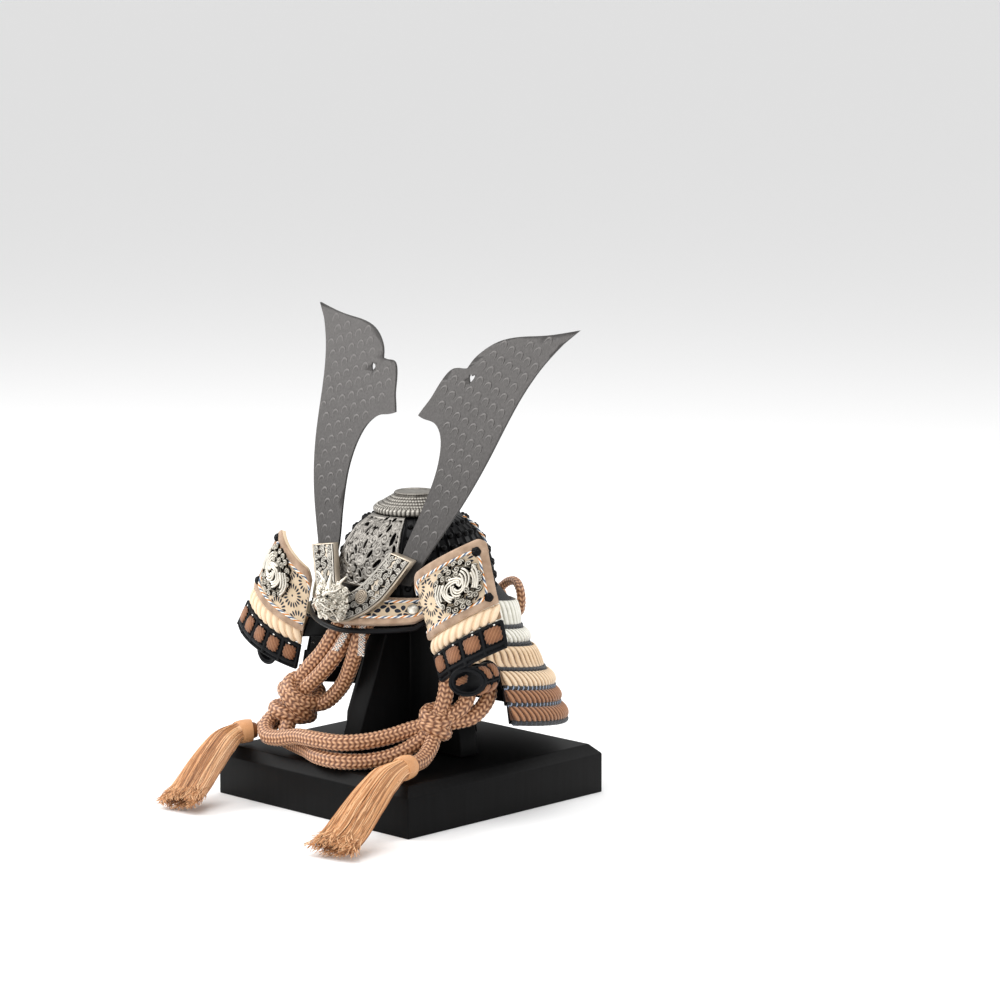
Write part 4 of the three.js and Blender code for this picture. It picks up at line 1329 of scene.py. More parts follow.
# ---------------------------------------------------------------- bowl
@dataclass
class Bowl:
    """The ribbed bowl: a turned shell, upright ridges between the plates, and rows of small domed studs."""

    plates: int = 36
    rib_width: float = 0.62
    rib_height: float = 0.9
    ribs_top: float = 147.5
    ribs_fade: float = 4.0
    wall: float = 1.6
    bare_half: float = 0.61
    stud_radius: float = 1.9
    stud_height: float = 2.3
    stud_heights: tuple[float, ...] = (107.5, 114, 120.5, 127, 133, 138.2, 142.8)
    full_studs_from: float = 33.0
    edgings: tuple[tuple[str, float], ...] = (("left", 38.0), ("right", 142.0))
    edging_span: tuple[float, float] = (145.0, 131.5)
    edging_lift: float = 0.6

    def make(self, finishes: Finishes) -> None:
        """Makes the shell, its studs and a short twisted edging at each rear side."""
        dress(self.shell(), "bowl_shell", finishes.lacquer, ["bowl"], 50)
        dress(self.studs(), "bowl_studs", finishes.lacquer, (), 60)
        for name, azimuth in self.edgings:
            z = np.linspace(*self.edging_span, 12)
            radius = bowl_radius(z) + self.rib_height + self.edging_lift
            path = around(np.full(12, math.radians(azimuth)), radius, z)
            Piping().make(smooth_path(path, 0.3), f"bowl_edging_{name}", finishes)

    def shell(self) -> bpy.types.Object:
        """Returns the shell: a sheet round the axis, closed at the top, that is then made thick inwards."""
        profile = smooth_path([(r, 0, z) for z, r in BOWL_SIDE[:-1]], 1.2)
        radius, height = profile[:, 0:1], profile[:, 2:3]
        azimuth = full_turn(self.plates * 12)
        plate = (azimuth / (2 * math.pi) * self.plates) % 1
        off = (np.abs(plate - 0.5) / self.plates * 2 * math.pi)[None] * radius
        rib = self.rib_height * np.exp(-((off / self.rib_width) ** 2))
        rib *= np.abs(azimuth - 1.5 * math.pi) >= self.bare_half
        spread = radius + rib * np.clip((self.ribs_top - height) / self.ribs_fade, 0, 1)
        points = around(np.broadcast_to(azimuth, spread.shape), spread, height).reshape(-1, 3)
        stock = Stock()
        faces = tube_faces(len(height), len(azimuth))
        stock.add(points, faces[:-2] + [faces[-1]])
        shell = stock.make()
        face_outwards(shell, np.array([200.0, 0.0, 110.0]))
        modifier(shell, "SOLIDIFY", thickness=self.wall * MM, offset=-1.0)
        return shell

    def studs(self) -> bpy.types.Object:
        """Returns every stud in one piece, a column of them up the middle of each plate."""
        stud = dome(self.stud_radius, self.stud_height)
        stock = Stock()
        for azimuth in full_turn(self.plates):
            if abs(azimuth - 1.5 * math.pi) < self.bare_half - 0.05:
                continue
            for z in self.stud_heights:
                radius = float(bowl_radius(z))
                slope = float(bowl_radius(z - 1) - bowl_radius(z + 1)) / 2
                up = np.array([math.cos(azimuth), math.sin(azimuth), slope])
                fit = min(1.0, radius / self.full_studs_from)
                at = around(np.array([azimuth]), radius - 0.1, z)[0]
                stock.add(stud.put(at, up, (fit, fit, 1)), stud.faces)
        return stock.make()


# ---------------------------------------------------------------- front plate
@dataclass
class FrontPlate:
    """The silver face plate on the bowl: a casting of crowded clouds, pierced by slanting slits."""

    half: float = 0.56
    low: float = 113.5
    high: float = 147.0
    seat: float = 1.25
    thickness: float = 1.1
    height: float = 1.1
    bead: float = 0.868
    puff_width: float = 0.8
    puff_height: float = 0.78
    rim: float = 0.7
    rim_width: float = 0.8
    lip: float = 1.35
    ground: float = 0.12
    flat_radius: float = 38.5
    clouds: tuple = (
        (0, 116.6, 2.6, 1.6, 1.3, 1), (7.0, 121.4, 3.0, 2.8, 1.5, 1), (9.0, 116.4, 2.6, 0.6, 1.4, -1),
        (15.6, 122.4, 2.8, 3.6, 1.4, 1), (18.4, 116.6, 2.7, 1.2, 1.3, -1), (0.2, 126.4, 3.1, 0.2, 1.5, -1),
        (9.8, 131.6, 3.2, 2.2, 1.5, 1), (17.4, 128.8, 2.8, 4.2, 1.4, -1), (4.6, 136.4, 2.8, 5.2, 1.4, 1),
        (12.0, 137.4, 2.8, 3.0, 1.4, -1), (7.4, 142.2, 2.8, 0.6, 1.3, 1), (17.4, 143.2, 2.3, 4.4, 1.2, -1),
    )
    gaps: tuple = (
        (-9.6, 142.6, 3.0, 0.75, 1.5), (-3.8, 140.6, 2.2, 0.75, -0.55), (0.1, 134.2, 2.2, 0.9, -0.1),
        (5.2, 129.8, 2.4, 0.95, -0.6), (10.6, 125.6, 2.8, 1.0, -0.8), (5.2, 146.0, 1.9, 0.6, -1.2),
        (13.0, 145.8, 1.6, 0.7, -1.2), (12.4, 142.2, 1.7, 1.0, -0.5), (17.2, 137.4, 3.0, 1.15, -0.3),
        (19.0, 132.6, 2.2, 0.8, 0.1), (1.2, 119.8, 1.9, 0.8, 0.5), (-6.0, 131.0, 2.4, 0.9, 0.6),
        (-11.0, 126.0, 2.6, 0.9, 0.8), (-16.6, 136.8, 2.8, 1.0, 0.3), (-18.8, 130.6, 2.0, 0.8, 0.0),
        (14.2, 118.8, 2.0, 0.8, -0.5), (-14.0, 119.4, 2.0, 0.8, 0.5),
    )

    def lines(self) -> list[np.ndarray]:
        """Returns the large clouds' scrolls on the flat plate, both halves."""
        drawn = []
        for x, z, radius, start, turns, hand in self.clouds:
            line = curl(x, z, radius, start, turns, hand)
            drawn += [line * (side, 1) for side in ((1, -1) if x else (1,))]
        return drawn

    def puffs(self) -> list[np.ndarray]:
        """Returns the small scrolls that crowd the ground between the clouds."""
        dice = random.Random(8)
        drawn = []
        for j in range(11):
            for i in range(-6, 7):
                x = (i + 0.5 * (j % 2)) * 3.4 + dice.uniform(-0.5, 0.5)
                z = self.low + 1.2 + j * 3.2 + dice.uniform(-0.5, 0.5)
                size, start, hand = dice.uniform(1.5, 2.1), dice.uniform(0, 6.3), dice.choice((1, -1))
                drawn.append(curl(x, z, size, start, 1.2, hand, 14))
        return drawn

    def opening(self, x: np.ndarray, z: np.ndarray) -> tuple[np.ndarray, np.ndarray]:
        """Works out the slanting slits.

        Args:
            x: each place across the flat plate.
            z: each place up.

        Returns:
            Which places are open, and how high the lips round the slits stand there.
        """
        opened = np.zeros(len(x), bool)
        lips = np.zeros(len(x))
        for gap_x, gap_z, long, narrow, slant in self.gaps:
            dx, dz = x - gap_x, z - gap_z
            across = dx * math.cos(slant) + dz * math.sin(slant)
            along = dz * math.cos(slant) - dx * math.sin(slant)
            reach = (across / narrow) ** 2 + (along / long) ** 2
            opened |= reach < 1
            lips = np.maximum(lips, rounded(np.abs(np.sqrt(reach) - self.lip), 0.35) * 0.9)
        return opened, lips

    def make(self, finishes: Finishes) -> None:
        """Makes the plate: clouds stand up, the ground between them stays darker, and the gaps are open."""
        wide = self.half * self.flat_radius
        x, z, faces = grid(250, 200)
        x, z = (2 * x - 1) * wide, self.low + (self.high - self.low) * z
        spots = np.stack([x, z], axis=1)
        scroll = rounded(distance_to(spots, self.lines()), self.bead)
        puff = rounded(distance_to(spots, self.puffs()), self.puff_width) * self.puff_height
        edge = np.minimum.reduce([wide - np.abs(x), z - self.low, self.high - z])
        opened, lips = self.opening(x, z)
        relief = np.maximum.reduce([scroll, puff, rounded(edge - self.rim, self.rim_width), lips])
        kept = [face for face in faces if not opened[face].any()]
        turn = -math.pi / 2 + x / wide * self.half
        lift = self.height * relief
        seat = bowl_radius(z) + self.seat
        stock = Stock()
        front = around(turn, seat + lift, z + 0.3 * lift)
        behind = around(turn, seat - self.thickness, z)
        with_walls(stock, front, behind, kept, self.ground + (1 - self.ground) * relief)
        plate = stock.make()
        face_outwards(plate, np.array([0.0, -80.0, 130.0]))
        dress(plate, "front_plate_clouds", finishes.cast_silver, ["front_plate"], 70)


# ---------------------------------------------------------------- crown ornament
@dataclass
class Crown:
    """The crown ornament: a ring of round petals, rows of small bricks that climb inwards, and a flat top.

    Each row of the tiers is a radius, a height above the foot, and how deep the petals are pressed there.
    """

    z: float = 147.2
    tiers: tuple = (
        (16.6, 1.8, 0), (20.4, 0.0, 0), (21.3, 0.4, 0.7), (21.8, 1.4, 1.0), (21.6, 2.6, 1.0),
        (20.6, 3.5, 0.9),
        (19.5, 3.9, 0.1), (18.9, 4.0, 0.0), (18.6, 4.7, 0.7), (17.6, 5.2, 0.8), (16.9, 5.2, 0.0),
        (16.6, 5.9, 0.7),
        (15.6, 6.4, 0.8), (14.9, 6.4, 0.0), (14.6, 7.1, 0.7), (13.6, 7.6, 0.8), (12.9, 7.6, 0.0),
        (12.6, 8.3, 0.7),
        (11.6, 8.8, 0.8), (11.0, 8.8, 0.0), (11.0, 9.9, 0.2), (10.4, 10.5, 0.2), (9.6, 10.5, 0.1),
        (9.0, 10.0, 0.0),
        (6.0, 10.1, 0.0), (2.5, 10.3, 0.0), (0.3, 10.3, 0.0),
    )
    steps: tuple[float, ...] = (3.95, 5.2, 6.4, 7.6)
    petals: tuple[int, ...] = (56, 76, 68, 60, 52)
    press_depth: float = 0.55
    segments: int = 380
    rim_height: float = 8.8
    rim_radius: float = 11.0
    top_tone: float = 0.7
    ground_tone: float = 0.24
    petal_tone: float = 0.62
    beads: int = 84
    bead_size: tuple[float, float] = (0.5, 0.45)
    bead_ring: tuple[float, float] = (19.7, 3.85)

    def make(self, finishes: Finishes) -> None:
        """Spins the profile round the axis with the petals pressed into each tier, and sets the beads."""
        dress(self.spun(), "crown_petals", finishes.silver, ["crown_ornament"], 60)
        dress(self.bead_row(), "crown_beads", finishes.silver, (), 60)

    def spun(self) -> bpy.types.Object:
        """Returns the tiers as one closed piece."""
        rows = smooth_path(self.tiers, 0.4)
        azimuth = full_turn(self.segments)
        radius, height, press = rows[:, 0:1], rows[:, 1:2], np.clip(rows[:, 2:3], 0, 1)
        tier = np.digitize(height, self.steps)
        number = np.array(self.petals)[tier]
        petal = np.abs(np.sin(number * azimuth[None] / 2 + tier * 0.8)) ** np.where(tier == 0, 0.7, 0.4)
        spread = radius - self.press_depth * press * (1 - petal)
        plain = (height > self.rim_height) & (radius < self.rim_radius)
        pressed = self.ground_tone + self.petal_tone * petal * np.clip(press + 0.35, 0, 1)
        relief = np.where(plain, self.top_tone, pressed)
        points = around(np.broadcast_to(azimuth, spread.shape), spread, self.z + height)
        stock = Stock()
        stock.add(points.reshape(-1, 3), tube_faces(len(rows), self.segments), relief.ravel())
        piece = stock.make()
        face_outwards(piece, np.array([200.0, 0.0, 152.0]))
        return piece

    def bead_row(self) -> bpy.types.Object:
        """Returns the small beads that stand above the petals."""
        bead = dome(*self.bead_size, 10, 6)
        radius, height = self.bead_ring
        stock = Stock()
        for i in range(self.beads):
            azimuth = (i + 0.5) / self.beads * 2 * math.pi
            at = around(np.array([azimuth]), radius, self.z + height)[0]
            up = np.array([math.cos(azimuth) * 0.5, math.sin(azimuth) * 0.5, 1.0])
            stock.add(bead.put(at, up), bead.faces)
        return stock.make()


# ---------------------------------------------------------------- prints on leather
@dataclass(frozen=True)
class Flower:
    """A printed chrysanthemum: a ring of short radiating dashes and a middle spot."""

    radius: float = 6.5
    dashes: int = 18
    dash: tuple[float, float] = (0.5, 0.98)
    width: float = 0.68
    spot: float = 0.6

    def shapes(self, x: float, y: float) -> list[np.ndarray]:
        """Returns its flat outlines round a place."""
        drawn = []
        start, stop = self.dash
        for angle in full_turn(self.dashes):
            drawn.append(leaf(x, y, self.radius * start, self.radius * stop, angle, self.width))
        drawn.append(disc(x, y, self.spot))
        return drawn


def leaf(
    x: float, y: float, start: float, stop: float, angle: float, width: float, count: int = 7
) -> np.ndarray:
    """Outline of a pointed dash that lies along a ray from a place.

    Args:
        x: the place across.
        y: the place up.
        start: where the dash starts on the ray.
        stop: where it ends.
        angle: the ray's direction, in radians.
        width: its half width at its widest.
        count: points on each side.

    Returns:
        The outline, counter-clockwise.
    """
    t = np.linspace(0, 1, count)
    r = start + (stop - start) * t
    w = width * np.sin(math.pi * t) ** 0.6 * (0.55 + 0.45 * t)
    c, s = math.cos(angle), math.sin(angle)
    low = np.stack([x + r * c + w * s, y + r * s - w * c], axis=1)
    high = np.stack([x + r * c - w * s, y + r * s + w * c], axis=1)
    return np.vstack([low, high[-2:0:-1]])


def disc(x: float, y: float, radius: float, count: int = 14) -> np.ndarray:
    """Outline of a round spot."""
    return (x, y) + polar(radius, full_turn(count))


def diamond(x: float, y: float, wide: float, high: float) -> np.ndarray:
    """Outline of an upright diamond."""
    return np.array([[x - wide, y], [x, y - high], [x + wide, y], [x, y + high]])


def ribbon(line: np.ndarray, width: float) -> np.ndarray:
    """Outline of a stroke of even width along a flat line."""
    ahead = np.gradient(line, axis=0)
    ahead /= np.linalg.norm(ahead, axis=1, keepdims=True)
    side = np.stack([-ahead[:, 1], ahead[:, 0]], axis=1) * width / 2
    return np.vstack([line - side, (line + side)[::-1]])


@dataclass
class Print:
    """Ink on a bent surface: each shape is a thin film on the surface, cut off at the printed field."""

    surface: Surface
    field: tuple[float, float, float, float]
    inside: Callable[[np.ndarray], np.ndarray]
    lift: float = 0.07
    least: float = 0.3
    many_points: int = 16
    long: float = 4.0

    def add_to(self, stock: Stock, outline: np.ndarray) -> None:
        """Adds one shape, cut down to the printed field: a long one as a strip, and another as a fan.

        Args:
            stock: where it goes.
            outline: its flat outline, counter-clockwise.
        """
        left, right, low, high = self.field
        outline = np.clip(outline, (left, low), (right, high))
        if np.ptp(outline, axis=0).min() < self.least or not self.inside(outline).all():
            return
        if len(outline) > self.many_points or np.ptp(outline, axis=0).max() > self.long:
            count = len(outline) // 2
            spots = np.vstack([outline[:count], outline[::-1][:count]])
            faces = [[i, i + 1, count + i + 1, count + i] for i in range(count - 1)]
        else:
            spots = np.vstack([outline, outline.mean(axis=0)])
            faces = [[i, (i + 1) % len(outline), len(outline)] for i in range(len(outline))]
        top = self.surface(spots[:, 0], spots[:, 1], np.full(len(spots), self.lift))
        stock.add(top, faces)


@dataclass(frozen=True)
class Piping:
    """A thin edging of four dyed threads twisted together, so that their colours follow each other."""

    radius: float = 0.62
    strand: float = 0.36
    pitch: float = 6.6
    colours: tuple[str, ...] = ("dd8a34", "f6f3ea", "4a6384", "f6f3ea")
    spread: float = 0.62

    def make(self, path: np.ndarray, name: str, finishes: Finishes) -> bpy.types.Object:
        """Returns the edging along a line.

        Args:
            path: points 0.3 mm or so apart.
            name: the piece's name.
            finishes: the finishes.

        Returns:
            The edging.
        """
        side, rise = path_frames(path)
        along = distances(path)
        stock = Stock()
        for i, colour in enumerate(self.colours):
            angle = (along / self.pitch + i / len(self.colours)) * 2 * math.pi
            off = side * np.cos(angle)[:, None] + rise * np.sin(angle)[:, None]
            stock.tube(path + self.radius * self.spread * off, self.strand, 6, 1.0, colour)
        return dress(stock.make(), name, finishes.thread, (), 60)


# ---------------------------------------------------------------- visor
@dataclass
class Visor:
    """The visor: printed leather with suede bands, piping, two domed beads and a glossy rolled rim.

    Each row of the rises is an angle from the front and how far the outer edge stands up there.
    """

    inner: float = 42.2
    outer: float = 53.2
    plate_end: float = 0.84
    thickness: float = 1.6
    reach: float = 51.0
    drop: float = 92.6
    root: float = 109.5
    sag: float = 1.2
    rises: tuple = ((0, 0), (20, 1.3), (35, 2.4), (45, 3.5), (51, 6.7))
    rim_radius: float = 1.4
    rim_beyond: float = 1.5
    bands: tuple = (("band", 0.7, 0.86), ("root", 0.02, 0.13))
    band_swell: float = 0.75
    band_lift: float = 0.15
    pipings: tuple = (("visor_piping", 0.675), ("visor_root_piping", 0.17))
    piping_lift: float = 0.35
    flat_radius: float = 47.0
    flat_depth: float = 20.0
    field: tuple[float, float] = (4.1, 12.9)
    motif_step: float = 7.8
    petals: int = 5
    arcs: tuple = ((0.5, 5.2), (0.72, 6.3))
    bead_at: float = 44.0
    bead_size: tuple[float, float] = (2.9, 2.2)
    collar: tuple[float, float, float] = (2.75, 0.32, 0.25)

    def point(self, angle: np.ndarray, out: np.ndarray, lift: np.ndarray) -> np.ndarray:
        """Places on the visor's middle surface.

        Args:
            angle: degrees from the front.
            out: how far out, from 0 to 1.
            lift: height off the surface.

        Returns:
            The places.
        """
        angle, out, lift = np.broadcast_arrays(np.asarray(angle, float), out, lift)
        rise = from_table(self.rises, np.abs(angle))
        sag = self.sag * np.sin(math.pi * np.minimum(out, 1))
        radius = self.inner + (self.outer - self.inner) * out + lift * 0.8
        height = self.root + (self.drop + rise - self.root) * out + lift * 0.6 + sag
        return around(-math.pi / 2 + np.radians(angle), radius, height)

    def make(self, finishes: Finishes) -> None:
        """Makes every piece of the visor."""
        half = self.thickness / 2

        def sheet(u: np.ndarray, v: np.ndarray, h: np.ndarray) -> np.ndarray:
            """Places on the leather's upper face."""
            return self.point((2 * u - 1) * self.reach, v * self.plate_end, h + half)

        leather = bent_sheet(120, 14, sheet, self.thickness, 0.25)
        dress(leather, "visor_leather", finishes.leather, ["visor"], 50)
        for name, start, stop in self.bands:
            self.band(finishes, f"visor_suede_{name}", start, stop)
        far = self.reach + self.rim_beyond
        rim = smooth_path(self.point(np.linspace(-far, far, 40), 1.0, 0.0), 0.6)
        stock = Stock()
        stock.tube(rim, tapered(len(rim), self.rim_radius, 0.5), 20)
        dress(stock.make(), "visor_rim_lacquer", finishes.lacquer, ["visor_rim"], 60)
        for name, out in self.pipings:
            line = self.point(np.linspace(-self.reach, self.reach, 60), out, half + self.piping_lift)
            Piping().make(smooth_path(line, 0.3), name, finishes)
        self.ink(finishes)
        self.beads(finishes)

    def band(self, finishes: Finishes, name: str, start: float, stop: float) -> None:
        """Lays a padded suede band.

        Args:
            finishes: the finishes.
            name: the piece's name.
            start: how far out it starts, from 0 to 1.
            stop: how far out it ends. Past the leather's end it is turned down over it.
        """
        turned_down = self.thickness * (stop > self.plate_end)

        def sheet(u: np.ndarray, v: np.ndarray, h: np.ndarray) -> np.ndarray:
            """Places on the band."""
            swell = self.band_swell * np.sqrt(np.clip(1 - (2 * v - 1) ** 2, 0, 1)) + self.band_lift
            lift = h + self.thickness / 2 + swell - np.clip((v - 0.9) / 0.1, 0, 1) * turned_down
            return self.point((2 * u - 1) * self.reach, start + (stop - start) * v, lift)

        dress(bent_sheet(140, 20, sheet, 0.5), name, finishes.suede, (), 60)

    def ink(self, finishes: Finishes) -> None:
        """Prints five-petalled flowers and pairs of arcs on the leather, upright and upside down by turns."""

        def bent(x: np.ndarray, y: np.ndarray, lift: np.ndarray) -> np.ndarray:
            """Places on the leather by flat measures across and down."""
            angle = np.degrees(x / self.flat_radius)
            return self.point(angle, y / self.flat_depth, lift + self.thickness / 2)

        width = math.radians(self.reach) * self.flat_radius
        ink = Print(bent, (-width, width, *self.field), lambda spots: np.ones(len(spots), bool))
        stock = Stock()
        for i in range(-6, 7):
            x, low = i * self.motif_step, i % 2 == 0
            y = 10.6 if low else 6.4
            for k in range(self.petals):
                angle = k * 2 / self.petals * math.pi + (-0.5 if low else 0.5) * math.pi
                ink.add_to(stock, leaf(x, y, 0.8, 4.5, angle, 1.55, 9))
            for turn, reach in self.arcs:
                arc = np.linspace(turn, turn + 1.5, 14) + (0 if low else math.pi)
                ink.add_to(stock, ribbon((x + 1.5, y) + polar(reach, arc), 0.45))
        dress(stock.make(), "visor_print", finishes.ink)

    def beads(self, finishes: Finishes) -> None:
        """Stands a domed bead on a small collar at each side."""
        cap = dome(*self.bead_size, 28, 16)
        radius, thickness, height = self.collar
        circle = np.hstack([polar(radius, full_turn(48)), np.full((48, 1), height)])
        for side, name in ((1, "left"), (-1, "right")):
            seat = self.point(self.bead_at * side, 0.5, self.thickness / 2 + 0.9)
            stock = Stock()
            up = np.array([side * 0.5, -0.55, 0.67])
            stock.add(cap.put(seat, up), cap.faces, 0.9)
            stock.tube(Template(circle, []).put(seat, up), thickness, 8, 0.5, closed=True)
            node = f"visor_bead_{name}"
            dress(stock.make(), node + "_silver", finishes.bright_silver, [node], 60)


# ---------------------------------------------------------------- crest holder
@dataclass
class CrestHolder:
    """The silver holder of the horns: two arms with raised scrolls, a beaded inner edge and two rosettes."""

    lean: float = 0.42
    bulge: float = 5.0
    bulge_width: float = 14.0
    top: float = 131.0
    thickness: float = 3.6
    outer: tuple = ((96.8, 0), (98.2, 7.5), (103.5, 17), (110, 24), (118, 29.4), (125, 33.6), (130.2, 36.6))
    inner: tuple = ((110.2, 0), (111, 3.6), (114, 8.0), (119.5, 12.6), (126, 17.0), (132.6, 21.4))
    face: float = -34.2
    scrolls: int = 12
    scroll_rows: tuple[float, ...] = (0.2, 0.5, 0.8)
    bar: float = 0.45
    border: float = 0.085
    plain_tone: float = 0.85
    boss_at: tuple[float, float] = (12.4, 110.6)
    boss_radius: float = 4.0
    boss_height: float = 1.6
    boss_ridge: float = 0.35

    def depth(self, x: np.ndarray, z: np.ndarray) -> np.ndarray:
        """Depth of the front face."""
        return self.face - self.lean * (self.top - z) - self.bulge * np.exp(-((x / self.bulge_width) ** 2))

    def edge(self, rows: tuple) -> np.ndarray:
        """An edge of one half as a smooth flat line, from the middle outwards."""
        return smooth_path([(x, z, 0) for z, x in rows], 0.5)[:, :2]

    def place(self, s: np.ndarray, v: np.ndarray, lift: np.ndarray) -> np.ndarray:
        """Places on the face.

        Args:
            s: -1 to 1 from the right tip to the left one.
            v: 0 to 1 from the outer edge to the inner one.
            lift: height off the face.

        Returns:
            The places.
        """
        flat = self.flat(s, v)
        x, z = flat[..., 0], flat[..., 1]
        return np.stack([x, self.depth(x, z) - lift * 0.92, z + lift * 0.39], axis=-1)

    def flat(self, s: np.ndarray, v: np.ndarray) -> np.ndarray:
        """The same place seen from the front."""
        out, into = self.edge(self.outer), self.edge(self.inner)
        t, hand = np.abs(s), np.where(s < 0, -1.0, 1.0)
        low = between(t, np.linspace(0, 1, len(out)), out)
        high = between(t, np.linspace(0, 1, len(into)), into)
        spot = low + (high - low) * np.asarray(v)[..., None]
        spot[..., 0] *= hand
        return spot

    def make(self, finishes: Finishes) -> None:
        """Makes the plain body, the relief on it, the beaded edge and the rosettes."""
        body = cad_copy("crest_holder")
        bevel(body, 0.35, 2, 40)
        tone(body, self.plain_tone)
        dress(body, "crest_holder_body", finishes.satin_silver, ["crest_holder"], 30)
        u, v, faces = grid(580, 116)
        s = (2 * u - 1) * 0.985
        v = self.border + (1 - self.border) * v
        flat = self.flat(s, v)
        whole = np.linspace(-1, 1, 200)
        scroll = rounded(distance_to(flat, self.lines()), self.bar) * 0.86
        inner = rounded(distance_to(flat, [self.flat(whole, np.full(200, 0.965))]), 0.8)
        outer = rounded(distance_to(flat, [self.flat(whole, np.full(200, self.border + 0.02))]), 0.5) * 0.8
        relief = np.maximum.reduce([scroll, inner, outer])
        relief *= np.clip(np.minimum(v - self.border, 1 - v) / 0.012, 0, 1)
        front = self.place(s, v, 0.12 + 0.8 * relief)
        stock = Stock()
        with_walls(stock, front, self.place(s, v, 0 * relief - 0.4), faces, 0.2 + 0.8 * relief)
        face = stock.make()
        face_outwards(face, np.array([0.0, -120.0, 115.0]))
        dress(face, "crest_holder_scrolls", finishes.silver, (), 70)
        self.rosettes(finishes)

    def lines(self) -> list[np.ndarray]:
        """Returns the scrolls and the stems that join them, in both arms."""
        drawn = []
        for i in range(self.scrolls):
            for k, v in enumerate(self.scroll_rows):
                t = (i + 0.35 + 0.33 * (k % 2)) / self.scrolls
                x, z = self.flat(np.array([t * 0.98]), np.array([v]))[0]
                hand = 1 if (i + k) % 2 else -1
                drawn.append(curl(x, z, 1.75, 2.2 * i + 1.7 * k, 1.55, hand, 26))
                drawn.append(curl(x + 1.4 * hand, z + 1.1, 1.9, 1.3 * i + 2 + k, 0.45, -hand, 9))
        return [line * (side, 1) for side in (1, -1) for line in drawn]

    def rosettes(self, finishes: Finishes) -> None:
        """Models a low boss with a raised spiral, and stands one on each arm."""
        angle = full_turn(96)
        radii = np.arange(0.15, 3.95, 0.19)
        spots, bright = [], []
        for radius in radii:
            ridge = 0.5 + 0.5 * np.cos(radius / 0.95 * 2 * math.pi - angle)
            dish = self.boss_height * math.sqrt(max(1 - (radius / self.boss_radius) ** 2, 0))
            spots.append(np.column_stack([polar(radius, angle), dish + self.boss_ridge * ridge]))
            bright.append(0.25 + 0.7 * ridge)
        rosette = Template(np.vstack(spots), tube_faces(len(radii), 96))
        x, z = self.boss_at
        depth = float(self.depth(np.array(x), np.array(z))) - 1.0
        for side, name in ((1, "left"), (-1, "right")):
            stock = Stock()
            placed = rosette.put(np.array([side * x, depth, z]), np.array([side * 0.15, -1, self.lean]))
            stock.add(placed, rosette.faces, np.concatenate(bright))
            boss = stock.make()
            close_skin(boss)
            node = f"holder_boss_{name}"
            dress(boss, f"rosette_{name}", finishes.satin_silver, [node], 60)


